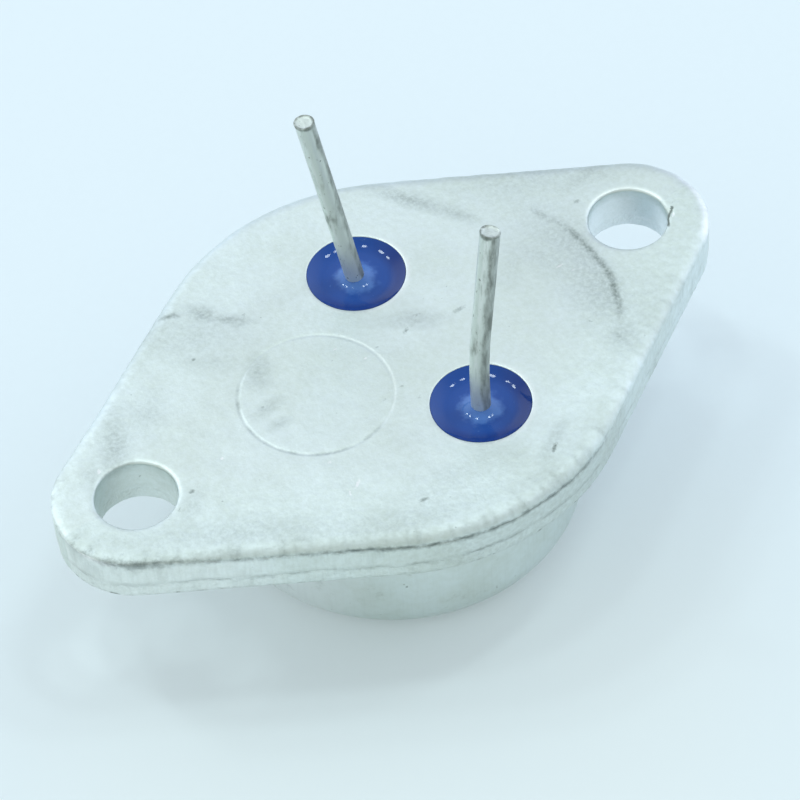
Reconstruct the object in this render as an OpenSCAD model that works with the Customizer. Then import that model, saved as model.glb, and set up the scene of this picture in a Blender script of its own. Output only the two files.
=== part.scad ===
// Power transistor in a flat steel package with a diamond-shaped base.
// The base plate lies in the XY plane with its seating face at z = 0 and its leads pointing up (+Z).
// The origin is midway between the two mounting holes, and +X runs through both of them.
// The sealed can with the silicon in it is under the plate, towards -Z.

/* [Base plate] */
// Distance between the mounting holes
hole_spacing = 30.15; // [29.9:0.05:30.4]
// Diameter of each mounting hole
hole_d = 4.1; // [3.8:0.05:4.2]
// Radius of the round middle of the plate
plate_r = 12.1; // [11.8:0.05:13.2]
// Radius of the plate's two ends, centred on the mounting holes
ear_r = 4.2; // [3.9:0.05:4.4]
// Thickness of the plate
plate_t = 2.75; // [2.2:0.05:3.2]
// Radius that blanking rolled onto the edge of the seating face
edge_roll = 0.6; // [0.3:0.05:0.8]

/* [Leads] */
// Distance between the two leads
lead_spacing = 10.92; // [10.6:0.02:11.2]
// Distance of the leads from the plate's centre line, along X
lead_offset = 1.81; // [1.5:0.01:2.1]
// Diameter of a lead
lead_d = 1.0; // [0.95:0.01:1.1]
// Length of a lead above the seating face, along the lead
lead_reach = 11.8; // [8:0.1:12]
// Angle by which the emitter lead has been bent over
emitter_lean = 8.9; // [4:0.1:12]
// Direction in which the emitter lead leans, from +X
emitter_heading = 159; // [90:1:200]
// Angle by which the base lead has been bent over
base_lean = 7.6; // [4:0.1:12]
// Direction in which the base lead leans, from +X
base_heading = 4; // [-40:1:40]

/* [Glass seals] */
// Diameter of each glass seal
seal_d = 5.08; // [4.4:0.02:5.4]
// Depth of the hollow ring between the seal's rim and the lead
seal_dish = 0.22; // [0.1:0.02:0.4]

/* [Cap] */
// Outer diameter of the drawn cap
cap_d = 19.4; // [19:0.1:20]
// Height of the cap below the plate
cap_h = 7.85; // [7:0.05:9]
// Wall thickness of the cap
cap_wall = 0.6; // [0.4:0.05:0.9]
// Outer radius between the cap's wall and its crown
crown_r = 1.9; // [1.2:0.1:2.6]
// Diameter of the welded brim
brim_d = 22.2; // [21.6:0.1:22.6]
// Thickness of the welded brim
brim_t = 0.75; // [0.5:0.05:1]

/* [Silicon and its mounting] */
// Diameter of the copper heat spreader
spreader_d = 7.8; // [7:0.1:8.2]
// Thickness of the copper heat spreader
spreader_t = 1.2; // [0.8:0.1:1.6]
// Distance of the heat spreader's centre from the plate's centre, along -X
spreader_offset = 4.4; // [4:0.1:4.8]
// Side of the square silicon die
die_side = 4.8; // [3.6:0.1:5]
// Thickness of the silicon die
die_t = 0.25; // [0.2:0.05:0.4]
// Diameter of each emitter wire
emitter_wire_d = 0.38; // [0.3:0.02:0.4]
// Diameter of the base wire
base_wire_d = 0.3; // [0.2:0.02:0.4]
// Height of the wires' loops
loop_h = 1.6; // [1:0.1:2.5]

/* [Hidden] */
$fn = 96;

// A cut that runs past a surface does so by this much
past = 1;

// Plate outline: where the straight sides meet the round middle and the round ends
hole_x = hole_spacing / 2;
side_angle = acos((plate_r - ear_r) / hole_x);
side_len = sqrt(hole_x * hole_x - (plate_r - ear_r) * (plate_r - ear_r));
// Each round part is swept this many degrees too far, then trimmed
sweep_past = 4;

// Round mark that the spreader's recess leaves on the seating face
mark_w = 0.16;
mark_depth = 0.06;

// Stack on the plate's inner face, each z being the side away from the plate
recess_depth = 0.35;
recess_gap = 0.05;
braze_t = 0.08;
solder_t = 0.08;
solder_lip = 0.2;
recess_z = -plate_t + recess_depth;
braze_z = recess_z - braze_t;
spreader_z = braze_z - spreader_t;
solder_z = spreader_z - solder_t;
die_z = solder_z - die_t;

// Lead: flattened head inside the can, straight shank through the glass, then the bend
lead_r = lead_d / 2;
head_r = 1.0;
head_t = 0.3;
tip_break = 0.08;
emitter_bend_z = -1.0;
emitter_bend_r = 4;
base_bend_z = 2.4;
base_bend_r = 13;
// The wire is drawn a little thinner round a bend, which runs this far into the straight lengths
bend_thinning = 0.004;
bend_run_in = 0.1;
// Above the bend the wire is bare for a short way, then the tin on it grows to its full thickness
bare_len = 0.45;
tin_taper = 0.7;
tin_t = 0.005;
tinned_r = lead_r + tin_t;
tinned_z = bare_len + tin_taper;

// Seal: flat rim beside the plate, hollow ring, flat collar round the lead
seal_r = seal_d / 2;
seal_rim = 0.15;
seal_collar = 0.1;
seal_top = -0.05;

// Bonds: centre of the emitter pair and of the base wire, on the die and on the lead's head
bond_die_x = -3.6;
emitter_bond_y = 1.0;
base_bond_y = -1.2;
bond_lead_inset = 0.2;
pair_gap = 0.84;
foot_len = 0.8;
foot_t = 0.12;

// Outline, from the axis outwards, of a round part of the plate whose radius is r
module rolled_profile(r) {
    translate([0, -plate_t]) square([r - edge_roll, plate_t]);
    translate([0, -plate_t]) square([r, plate_t - edge_roll]);
    translate([r - edge_roll, -edge_roll]) circle(edge_roll);
}

// A sector of the plate with radius r, swept by angle from +Y towards -X
module rolled_sector(r, angle) {
    rotate([0, 0, 90])
        rotate_extrude(angle = angle) rolled_profile(r);
}

// The straight side laid along +X, with half of the round middle before it and half of the end after it
module side_and_corners() {
    drop = plate_r - ear_r;
    rolled_sector(plate_r, 90 - side_angle + sweep_past);
    rotate([90, 0, 90])
        linear_extrude(side_len)
            intersection() {
                rolled_profile(plate_r);
                translate([drop, -plate_t]) square([ear_r, plate_t]);
            }
    translate([0, 0, -plate_t])
        linear_extrude(plate_t)
            polygon([[0, -past], [0, drop], [side_len, drop], [side_len, drop - past]]);
    translate([side_len, drop, 0])
        mirror([1, 0, 0]) rolled_sector(ear_r, side_angle + sweep_past);
}

// One quarter of the plate, trimmed to the planes that it shares with its neighbours
module plate_quarter() {
    intersection() {
        rotate([0, 0, side_angle - 90]) side_and_corners();
        translate([0, 0, -plate_t - past])
            cube([hole_x + ear_r + past, plate_r + past, plate_t + 2 * past]);
    }
}

// Plate without its holes
module plate_blank() {
    for (mx = [0, 1])
        for (my = [0, 1])
            mirror([mx, 0, 0]) mirror([0, my, 0]) plate_quarter();
}

// Ring, hollow in the middle, between radii r_in and r_out
module ring_cut(r_in, r_out, depth) {
    rotate_extrude()
        translate([r_in, -depth]) square([r_out - r_in, depth + past]);
}

module flange_plate() {
    color("silver")
        difference() {
            plate_blank();
            for (x = [-hole_x, hole_x])
                translate([x, 0, -plate_t - past]) cylinder(d = hole_d, h = plate_t + 2 * past);
            for (y = [-lead_spacing / 2, lead_spacing / 2])
                translate([lead_offset, y, -plate_t - past]) cylinder(r = seal_r, h = plate_t + 2 * past);
            translate([-spreader_offset, 0, -plate_t - past])
                cylinder(d = spreader_d + 2 * recess_gap, h = past + recess_depth);
            translate([-spreader_offset, 0, 0])
                ring_cut(spreader_d / 2 - mark_w / 2, spreader_d / 2 + mark_w / 2, mark_depth);
        }
}

// Half section of a cup: radius r, depth h below z = 0 and an outer corner radius c
module cup_profile(r, h, c) {
    translate([0, -h]) square([r - c, h]);
    translate([0, -h + c]) square([r, h - c]);
    translate([r - c, -h + c]) circle(c);
}

module cap() {
    color("silver")
        translate([0, 0, -plate_t])
            rotate_extrude()
                difference() {
                    union() {
                        cup_profile(cap_d / 2, cap_h, crown_r);
                        translate([0, -brim_t]) square([brim_d / 2, brim_t]);
                    }
                    cup_profile(cap_d / 2 - cap_wall, cap_h - cap_wall, crown_r - cap_wall);
                    square([cap_d / 2 - cap_wall, past]);
                }
}

// Lead with its head inside the can, its bend starting at bend_z and the bend's radius bend_r
module bent_lead(bend_z, bend_r, lean, heading) {
    shank_z = die_z + head_t;
    straight_len = lead_reach - bend_z - bend_r * lean * PI / 180;
    run_in = asin(bend_run_in / bend_r);
    translate([0, 0, die_z]) cylinder(r = head_r, h = head_t);
    translate([0, 0, shank_z]) cylinder(r = lead_r, h = bend_z - shank_z);
    rotate([0, 0, heading])
        translate([bend_r, 0, bend_z]) {
            rotate([90, 0, 180])
                rotate([0, 0, -run_in])
                    rotate_extrude(angle = lean + 2 * run_in)
                        translate([bend_r, 0]) circle(lead_r - bend_thinning);
            rotate([0, lean, 0])
                translate([-bend_r, 0, 0]) {
                    cylinder(r = lead_r, h = bare_len);
                    translate([0, 0, bare_len]) cylinder(r1 = lead_r, r2 = tinned_r, h = tin_taper);
                    translate([0, 0, tinned_z]) cylinder(r = tinned_r, h = straight_len - tip_break - tinned_z);
                    translate([0, 0, straight_len - tip_break])
                        cylinder(r1 = tinned_r, r2 = tinned_r - tip_break, h = tip_break);
                }
        }
}

module emitter_lead_body() {
    translate([lead_offset, lead_spacing / 2, 0])
        bent_lead(emitter_bend_z, emitter_bend_r, emitter_lean, emitter_heading);
}

module base_lead_body() {
    translate([lead_offset, -lead_spacing / 2, 0])
        bent_lead(base_bend_z, base_bend_r, base_lean, base_heading);
}

module emitter_lead() {
    color("lightgray") emitter_lead_body();
}

module base_lead() {
    color("lightgray") base_lead_body();
}

// Glass filling of one seal hole, before the lead goes through it
module seal_blank() {
    hollow_in = lead_r + seal_collar;
    hollow_half = (seal_r - seal_rim - hollow_in) / 2;
    hollow_r = (hollow_half * hollow_half + seal_dish * seal_dish) / (2 * seal_dish);
    rotate_extrude()
        difference() {
            translate([0, -plate_t]) square([seal_r, plate_t + seal_top]);
            translate([hollow_in + hollow_half, seal_top - seal_dish + hollow_r]) circle(hollow_r);
        }
}

module emitter_seal() {
    color("royalblue")
        difference() {
            translate([lead_offset, lead_spacing / 2, 0]) seal_blank();
            emitter_lead_body();
        }
}

module base_seal() {
    color("royalblue")
        translate([lead_offset, -lead_spacing / 2, 0])
            difference() {
                seal_blank();
                translate([0, 0, -plate_t - past]) cylinder(r = lead_r, h = plate_t + 2 * past);
            }
}

module heat_spreader() {
    color("peru")
        translate([-spreader_offset, 0, spreader_z]) cylinder(d = spreader_d, h = spreader_t);
}

module braze_disc() {
    color("khaki")
        translate([-spreader_offset, 0, braze_z]) cylinder(d = spreader_d, h = braze_t);
}

// Square plate centred over the heat spreader, its far side at z
module square_layer(side, t, z) {
    translate([-spreader_offset - side / 2, -side / 2, z]) cube([side, side, t]);
}

module die_solder() {
    color("gray") square_layer(die_side + solder_lip, solder_t, solder_z);
}

module silicon_die() {
    color("slategray") square_layer(die_side, die_t, die_z);
}

// Looped wire of diameter d from one bond to another, shifted sideways by side, with a flat foot at each end
module bond_wire(from, to, side, d) {
    run = to - from;
    chord = norm(run);
    loop_r = (chord * chord / 4 + loop_h * loop_h) / (2 * loop_h);
    translate([from.x, from.y, die_z])
        rotate([0, 0, atan2(run.y, run.x)])
            translate([0, side, 0]) {
                intersection() {
                    translate([chord / 2, 0, loop_r - loop_h])
                        rotate([90, 0, 0])
                            rotate_extrude() translate([loop_r, 0]) circle(d / 2, $fn = 32);
                    translate([-past, -d, -2 * loop_h]) cube([chord + 2 * past, 2 * d, 2 * loop_h]);
                }
                for (x = [0, chord])
                    translate([x - foot_len / 2, -d * 0.55, -foot_t]) cube([foot_len, d * 1.1, foot_t]);
            }
}

module emitter_wire(side) {
    color("gainsboro")
        bond_wire([bond_die_x, emitter_bond_y],
                  [lead_offset - bond_lead_inset, lead_spacing / 2 - bond_lead_inset], side, emitter_wire_d);
}

module emitter_wire_1() {
    emitter_wire(-pair_gap / 2);
}

module emitter_wire_2() {
    emitter_wire(pair_gap / 2);
}

module base_wire() {
    color("gainsboro")
        bond_wire([bond_die_x, base_bond_y],
                  [lead_offset - bond_lead_inset, -lead_spacing / 2 + bond_lead_inset], 0, base_wire_d);
}

flange_plate();
cap();
emitter_seal();
base_seal();
emitter_lead();
base_lead();
heat_spreader();
braze_disc();
die_solder();
silicon_die();
emitter_wire_1();
emitter_wire_2();
base_wire();
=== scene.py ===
"""Power transistor in a flat steel can, lying on its cap with the two leads up.

Builds the finished surfaces of each piece around the packed model: the blanked base plate, the glass seals,
the bent leads and the drawn cap, with the pieces inside the can finished where they stand.
Lengths in the property groups are millimetres, and meshes are in metres.
"""

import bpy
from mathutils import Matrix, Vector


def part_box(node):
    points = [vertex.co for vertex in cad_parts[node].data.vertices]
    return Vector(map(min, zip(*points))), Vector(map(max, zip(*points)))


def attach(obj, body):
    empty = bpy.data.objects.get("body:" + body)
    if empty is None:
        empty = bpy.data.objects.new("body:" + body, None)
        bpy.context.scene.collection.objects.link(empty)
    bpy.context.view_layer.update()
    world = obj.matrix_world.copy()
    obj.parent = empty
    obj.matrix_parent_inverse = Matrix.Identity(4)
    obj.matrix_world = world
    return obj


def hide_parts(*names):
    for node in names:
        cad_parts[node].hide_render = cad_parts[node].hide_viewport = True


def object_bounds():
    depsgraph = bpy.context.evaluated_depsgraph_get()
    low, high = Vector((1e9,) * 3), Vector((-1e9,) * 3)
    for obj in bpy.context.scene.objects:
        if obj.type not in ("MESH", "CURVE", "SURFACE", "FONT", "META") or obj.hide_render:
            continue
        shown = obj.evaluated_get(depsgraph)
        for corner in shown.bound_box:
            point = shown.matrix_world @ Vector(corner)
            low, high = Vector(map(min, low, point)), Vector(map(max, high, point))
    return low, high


bl_info = {
    "name": "Metal Can Transistor",
    "version": (1, 0, 0),
    "blender": (4, 5, 0),
    "location": "3D View > Sidebar > Transistor",
    "description": "Builds a metal can power transistor piece by piece",
    "category": "Object",
}

import math

import bmesh
import bpy
from mathutils import Matrix, Vector, geometry, noise

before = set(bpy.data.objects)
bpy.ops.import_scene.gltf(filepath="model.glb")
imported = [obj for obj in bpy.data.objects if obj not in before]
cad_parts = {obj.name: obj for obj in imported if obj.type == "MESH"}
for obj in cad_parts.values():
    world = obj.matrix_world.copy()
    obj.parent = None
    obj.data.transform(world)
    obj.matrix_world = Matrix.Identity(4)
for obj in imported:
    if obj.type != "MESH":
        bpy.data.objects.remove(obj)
CAN_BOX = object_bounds()

MM = 0.001
TURN = 2 * math.pi


# ---------------------------------------------------------------- sizes and colours


def length(name, description, default, low=0.0, high=100.0):
    """A property that holds a length in millimetres."""
    return bpy.props.FloatProperty(name=name, description=description, default=default, min=low, max=high,
                                   precision=3)


def degrees(name, description, default, low=-180.0, high=180.0):
    """A property that holds an angle in degrees."""
    return bpy.props.FloatProperty(name=name, description=description, default=default, min=low, max=high)


def colour(name, description, default):
    """A property that holds a colour as an sRGB hex value."""
    return bpy.props.StringProperty(name=name, description=description, default=default)


class PlateSizes(bpy.types.PropertyGroup):
    """Sizes of the base plate"""

    hole_spacing: length("Hole spacing", "Distance between the mounting holes", 30.15)
    hole_radius: length("Hole radius", "Radius of a mounting hole", 2.05)
    middle_radius: length("Middle radius", "Radius of the plate's round middle", 12.1)
    end_radius: length("End radius", "Radius of the plate's two ends", 4.2)
    thickness: length("Thickness", "Thickness of the plate", 2.75)
    roll_width: length("Roll width", "How far in from the edge the blanked edge is rolled over", 0.82)
    roll_drop: length("Roll drop", "How far the rolled edge drops", 0.5)
    shear_depth: length("Shear depth", "Depth below the face at which the cut edge tears", 1.85)
    mark_radius: length("Mark radius", "Radius of the coined round mark", 3.9)
    mark_offset: length("Mark offset", "Distance of the round mark from the centre, along -X", 4.4)
    mark_depth: length("Mark depth", "Depth of the coined line", 0.018)


class SealSizes(bpy.types.PropertyGroup):
    """Sizes of the two glass seals"""

    radius: length("Radius", "Radius of a seal", 2.54)
    rim_drop: length("Rim drop", "How far the glass sits below the plate at its rim", 0.03)
    trough_drop: length("Trough drop", "Depth of the hollow ring in the glass", 0.37)
    trough_radius: length("Trough radius", "Radius at which the hollow ring is deepest", 1.62)
    climb: length("Climb", "How far the glass climbs the lead", 0.27)


class LeadSizes(bpy.types.PropertyGroup):
    """Sizes of the two leads"""

    radius: length("Radius", "Radius of a lead", 0.5)
    spacing: length("Spacing", "Distance between the leads", 10.92)
    offset: length("Offset", "Distance of the leads from the plate's centre line", 1.81)
    reach: length("Reach", "Length of a lead above the plate, along the lead", 11.8)
    head_radius: length("Head radius", "Radius of the flattened head inside the can", 1.0)
    head_thickness: length("Head thickness", "Thickness of the head", 0.3)
    emitter_lean: degrees("Emitter lean", "Angle by which the emitter lead is bent over", 8.9)
    emitter_heading: degrees("Emitter heading", "Direction in which the emitter lead leans", 159.0)
    emitter_bend: length("Emitter bend", "Height at which the emitter lead starts to bend", -1.0, -2.0, 10.0)
    emitter_bend_radius: length("Emitter bend radius", "Radius of the emitter lead's bend", 4.0)
    base_lean: degrees("Base lean", "Angle by which the base lead is bent over", 7.6)
    base_heading: degrees("Base heading", "Direction in which the base lead leans", 4.0)
    base_bend: length("Base bend", "Height at which the base lead starts to bend", 1.3, -2.0, 10.0)
    base_bend_radius: length("Base bend radius", "Radius of the base lead's bend", 30.0)


class CapSizes(bpy.types.PropertyGroup):
    """Sizes of the drawn cap"""

    radius: length("Radius", "Outer radius of the cap's wall", 9.7)
    height: length("Height", "Height of the cap below the plate", 7.85)
    wall: length("Wall", "Thickness of the sheet", 0.6)
    corner: length("Corner", "Outer radius between the wall and the crown", 1.9)
    brim_radius: length("Brim radius", "Radius of the welded brim", 11.1)
    brim_thickness: length("Brim thickness", "Thickness of the welded brim", 0.75)


class FinishColours(bpy.types.PropertyGroup):
    """Colours of the surfaces, as sRGB hex values"""

    nickel: colour("Nickel", "Clean satin nickel plating", "E0EBEC")
    nickel_dull: colour("Dull nickel", "Slightly tarnished plating", "D2DCD8")
    # Bright nickel is the colour of painted highlights on the plate and the leads, and of painted light on
    # one side of the cap
    highlight_nickel: colour("Bright nickel", "Plating burnished where an edge is rolled or pressed", "F3F7F9")
    # Grime colours dirt and also painted shade on the plate and the cap
    grime_and_shade: colour("Grime", "Rubbed-in dirt", "6D7773")
    # Seam colours painted shade in the crease of the cut edge, with some dirt
    seam: colour("Seam", "Dirt in the crease of the cut edge", "5E6A69")
    glass: colour("Glass", "Cobalt glass", "244D9A")
    # Deep glass is painted shade on the rims of the seals
    glass_shade: colour("Deep glass", "Cobalt glass where it is thick and shaded", "14347C")
    glass_milk: colour("Milky glass", "Glass with fine bubbles round the lead", "6490D6")
    tin: colour("Tin", "Dull tin on the leads", "D6DFDC")
    # Dark tin is worn tin and also painted shade on one side of each lead
    tin_dark: colour("Dark tin", "Worn and oxidised tin", "6F7670")
    floor: colour("Floor", "Matt paper that the part lies on", "E4F0F8")


class StageSettings(bpy.types.PropertyGroup):
    """Camera and lamps"""

    camera_turn: degrees("Camera turn", "Direction of the camera, from -Y towards +X", -31.59)
    camera_rise: degrees("Camera rise", "Height of the camera above the horizon", 49.57)
    camera_roll: degrees("Camera roll", "Roll of the camera about its own axis", -4.5)
    camera_distance: length("Camera distance", "Distance from the camera to the part", 200.0, 50.0, 1000.0)
    lens: length("Lens", "Focal length on a 36 mm sensor", 179.27, 20.0, 400.0)


# ---------------------------------------------------------------- small helpers


def linear(hex_value):
    """Turns an sRGB hex value into the linear colour that shaders take."""
    channels = [int(hex_value[i:i + 2], 16) / 255 for i in (0, 2, 4)]
    return tuple(c / 12.92 if c <= 0.04045 else ((c + 0.055) / 1.055) ** 2.4 for c in channels) + (1.0,)


def node(tree, kind, inputs=None, **settings):
    """Adds a node, sets its properties and fills or links its inputs."""
    made = tree.nodes.new(kind)
    for key, value in settings.items():
        setattr(made, key, value)
    for key, value in (inputs or {}).items():
        if isinstance(value, bpy.types.NodeSocket):
            tree.links.new(value, made.inputs[key])
        else:
            made.inputs[key].default_value = value
    return made


def combine(tree, operation, first, second):
    """Joins two numbers with one operation."""
    return node(tree, "ShaderNodeMath", {0: first, 1: second}, operation=operation).outputs[0]


def vector_math(tree, operation, first, second, output=0):
    """Joins two vectors with one operation. Output 1 holds a number, where the operation gives one."""
    return node(tree, "ShaderNodeVectorMath", {0: first, 1: second}, operation=operation).outputs[output]


def smooth_step(low, high, x):
    """0 below low, 1 above high and a soft slope between."""
    t = min(max((x - low) / (high - low), 0.0), 1.0)
    return t * t * (3 - 2 * t)


def wobble(x, y=0.0, z=0.0):
    """Smooth noise between about -1 and 1."""
    return noise.noise(Vector((x, y, z)))


def wrapped(angle):
    """An angle in degrees brought between -180 and 180."""
    return (angle + 180) % 360 - 180


def new_piece(name, bm, material, replaced, sharp=35.0):
    """Turns a bmesh in millimetres into a finished piece that stands for a CAD node."""
    mesh = bpy.data.meshes.new(name)
    bmesh.ops.scale(bm, vec=(MM, MM, MM), verts=bm.verts)
    bmesh.ops.recalc_face_normals(bm, faces=bm.faces)
    bm.to_mesh(mesh)
    bm.free()
    return finish_piece(name, mesh, material, replaced, sharp)


def finish_piece(name, mesh, material, replaced, sharp):
    """Gives a mesh its material and its place in the frame."""
    mesh.polygons.foreach_set("use_smooth", [True] * len(mesh.polygons))
    mesh.set_sharp_from_angle(angle=math.radians(sharp))
    mesh.materials.clear()
    mesh.materials.append(material)
    piece = bpy.data.objects.new(name, mesh)
    bpy.context.scene.collection.objects.link(piece)
    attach(piece, "root")
    if replaced:
        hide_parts(*replaced)
    return piece


def ring(bm, points):
    """Adds one vertex per point and returns them."""
    return [bm.verts.new(p) for p in points]


def bridge(bm, first, second):
    """Joins two closed rings of equal count with quads."""
    count = len(first)
    for i in range(count):
        j = (i + 1) % count
        bm.faces.new((first[i], first[j], second[j], second[i]))


def bridge_all(bm, rings):
    """Joins each ring to the next."""
    for first, second in zip(rings, rings[1:]):
        bridge(bm, first, second)


def circle_points(cx, cy, radius, z, count):
    """Points round a circle, anticlockwise."""
    return [(cx + radius * math.cos(TURN * i / count), cy + radius * math.sin(TURN * i / count), z)
            for i in range(count)]


def fill_flat(bm, outer, holes, z, spacing, inside):
    """Fills the flat area between closed rings of vertices with near-equal triangles."""
    rings = [outer] + holes
    anchors = [v for r in rings for v in r]
    coords = [Vector((v.co.x, v.co.y)) for v in anchors]
    edges = []
    start = 0
    for r in rings:
        edges += [(start + i, start + (i + 1) % len(r)) for i in range(len(r))]
        start += len(r)
    xs = [v.co.x for v in outer]
    ys = [v.co.y for v in outer]
    rise = spacing * math.sqrt(3) / 2
    clearance = 0.6 * spacing
    rows = int((max(ys) - min(ys)) / rise) + 2
    columns = int((max(xs) - min(xs)) / spacing) + 2
    for row in range(rows):
        for column in range(columns):
            x = min(xs) + (column + 0.5 * (row % 2)) * spacing
            y = min(ys) + row * rise
            if inside(x, y, clearance):
                coords.append(Vector((x, y)))
    points, _, faces, origins, _, _ = geometry.delaunay_2d_cdt(coords, edges, [], 0, 1e-6)
    verts = []
    for point, origin in zip(points, origins):
        if origin and origin[0] < len(anchors):
            verts.append(anchors[origin[0]])
        else:
            verts.append(bm.verts.new((point.x, point.y, z)))
    for face in faces:
        centre = sum((points[i] for i in face), Vector((0, 0))) / len(face)
        if inside(centre.x, centre.y, 0.0):
            bm.faces.new([verts[i] for i in face])


def outside_of(openings):
    """A test for points that lie clear of round openings, each given as x, y, radius and vertex count."""
    def clear(x, y, margin):
        return all(math.hypot(x - cx, y - cy) > radius * math.cos(math.pi / count) + margin
                   for cx, cy, radius, count in openings)
    return clear


# ---------------------------------------------------------------- shapes: base plate


def side_direction(sizes):
    """Cosine and sine of the direction that the plate's straight sides face."""
    cosine = (sizes.middle_radius - sizes.end_radius) / (sizes.hole_spacing / 2)
    return cosine, math.sqrt(1 - cosine * cosine)


def depth_inside(sizes, x, y):
    """How far a point lies inside the plate's outline, negative outside it."""
    cosine, sine = side_direction(sizes)
    half = sizes.hole_spacing / 2
    x, y = abs(x), abs(y)
    along = x * sine - y * cosine
    if along < 0:
        return sizes.middle_radius - math.hypot(x, y)
    if along > half * sine:
        return sizes.end_radius - math.hypot(x - half, y)
    return sizes.middle_radius - (x * cosine + y * sine)


def plate_outline(sizes, spacing):
    """Places and outward directions round the plate's outline, anticlockwise."""
    cosine, sine = side_direction(sizes)
    theta = math.acos(cosine)
    half = sizes.hole_spacing / 2
    arcs = [(0.0, sizes.middle_radius, theta, math.pi - theta),
            (-half, sizes.end_radius, math.pi - theta, math.pi + theta),
            (0.0, sizes.middle_radius, math.pi + theta, TURN - theta),
            (half, sizes.end_radius, TURN - theta, TURN + theta)]
    side_steps = round(half * sine / spacing)
    places = []
    for i, (cx, radius, start, end) in enumerate(arcs):
        steps = round(radius * (end - start) / spacing)
        for k in range(steps):
            angle = start + (end - start) * k / steps
            places.append((cx + radius * math.cos(angle), radius * math.sin(angle),
                           math.cos(angle), math.sin(angle)))
        next_cx, next_radius = arcs[(i + 1) % len(arcs)][:2]
        nx, ny = math.cos(end), math.sin(end)
        for k in range(side_steps):
            share = k / side_steps
            reach = radius + (next_radius - radius) * share
            places.append((cx + (next_cx - cx) * share + reach * nx, reach * ny, nx, ny))
    return places


# Distance between the outline's points
OUTLINE_SPACING = 0.13
# Where the level face begins, in from the outline, and the distance between its points
FACE_MARGIN = 1.35
FACE_SPACING = 0.15
# The same two on the underside
UNDERSIDE_MARGIN = 0.3
UNDERSIDE_SPACING = 1.2
# Triangles whose middle lies nearer than this to a straight side are slivers between its own points
SLIVER = 0.003
# Steps down the rolled edge and the degrees that each turns, then steps down the smooth and the torn wall
ROLL_STEPS = 11
ROLL_STEP_TURN = 8.2
SMOOTH_STEPS = 5
TORN_STEPS = 4


def edge_column(sizes, x, y):
    """The cut edge at one place on the outline, from the face down to the underside.

    Each entry is the distance in from the outline and the height, and the last value is the crease's height.
    """
    middle = 1 - smooth_step(5.0, 8.0, abs(x))
    drop = sizes.roll_drop * (0.8 + 0.3 * middle) * (1 + 0.12 * wobble(x * 0.35, y * 0.35, 3.0))
    drop *= 1 - 0.6 * smooth_step(-13.0, -17.5, x)
    drop += 0.06 * wobble(x * 1.3, y * 1.3, 4.0) + 0.03 * wobble(x * 3.4, y * 3.4, 8.0)
    uneven = 0.1 * wobble(x * 0.3, y * 0.3, 5.0) + 0.06 * wobble(x * 1.1, y * 1.1, 6.0)
    width = sizes.roll_width * (1 + uneven)
    tear = sizes.shear_depth + 0.16 * wobble(x * 0.45, y * 0.45, 7.0) + 0.05 * wobble(x * 2.1, y * 2.1, 11.0)
    column = [(FACE_MARGIN, 0.0)]
    for step in range(ROLL_STEPS):
        angle = math.radians(ROLL_STEP_TURN * step)
        column.append((width * (1 - math.sin(angle)), -drop * (1 - math.cos(angle))))
    crease = 0.03 + 0.02 * wobble(x * 2.5, y * 2.5)
    column += [(0.0, -drop + 0.02), (crease, -drop - 0.02), (0.0, -drop - 0.06)]
    top = -drop - 0.12
    for step in range(SMOOTH_STEPS + 1):
        z = top + (-tear + 0.04 - top) * step / SMOOTH_STEPS
        column.append((0.012 + 0.014 * wobble(x * 4.0, y * 4.0, z * 0.4), z))
    column.append((0.035, -tear))
    column.append((0.075 + 0.025 * wobble(x * 1.7, y * 1.7, 9.0), -tear - 0.06))
    low = 0.1 - sizes.thickness
    for step in range(1, TORN_STEPS + 1):
        z = -tear - 0.06 + (low + tear + 0.06) * step / TORN_STEPS
        column.append((0.07 + 0.035 * wobble(x * 3.0, y * 3.0, z * 3.0), z))
    column += [(0.1, 0.035 - sizes.thickness), (0.15, -sizes.thickness), (UNDERSIDE_MARGIN, -sizes.thickness)]
    return column, -drop


# Mounting hole, down its rolled rim and smooth wall: distance out from the hole's radius, and height
HOLE_ROLL = [(0.34, 0.0), (0.25, -0.004), (0.18, -0.014), (0.12, -0.03), (0.07, -0.052), (0.032, -0.085),
             (0.008, -0.13), (0.0, -0.2), (0.0, -0.7), (0.0, -1.2), (0.0, -1.6)]
# Its torn lower wall: distance out, and share of the way from the tear to the underside
HOLE_TEAR = [(0.0, 0.0), (0.035, 0.12), (0.04, 0.4), (0.05, 0.75), (0.08, 0.96), (0.14, 1.0)]
HOLE_STEPS = 128
# Nick in a hole's rim: direction and half-width in degrees, and depth
NICK_TOWARDS = -24.0
NICK_WIDTH = 5.0
NICK_DEPTH = 0.05


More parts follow.
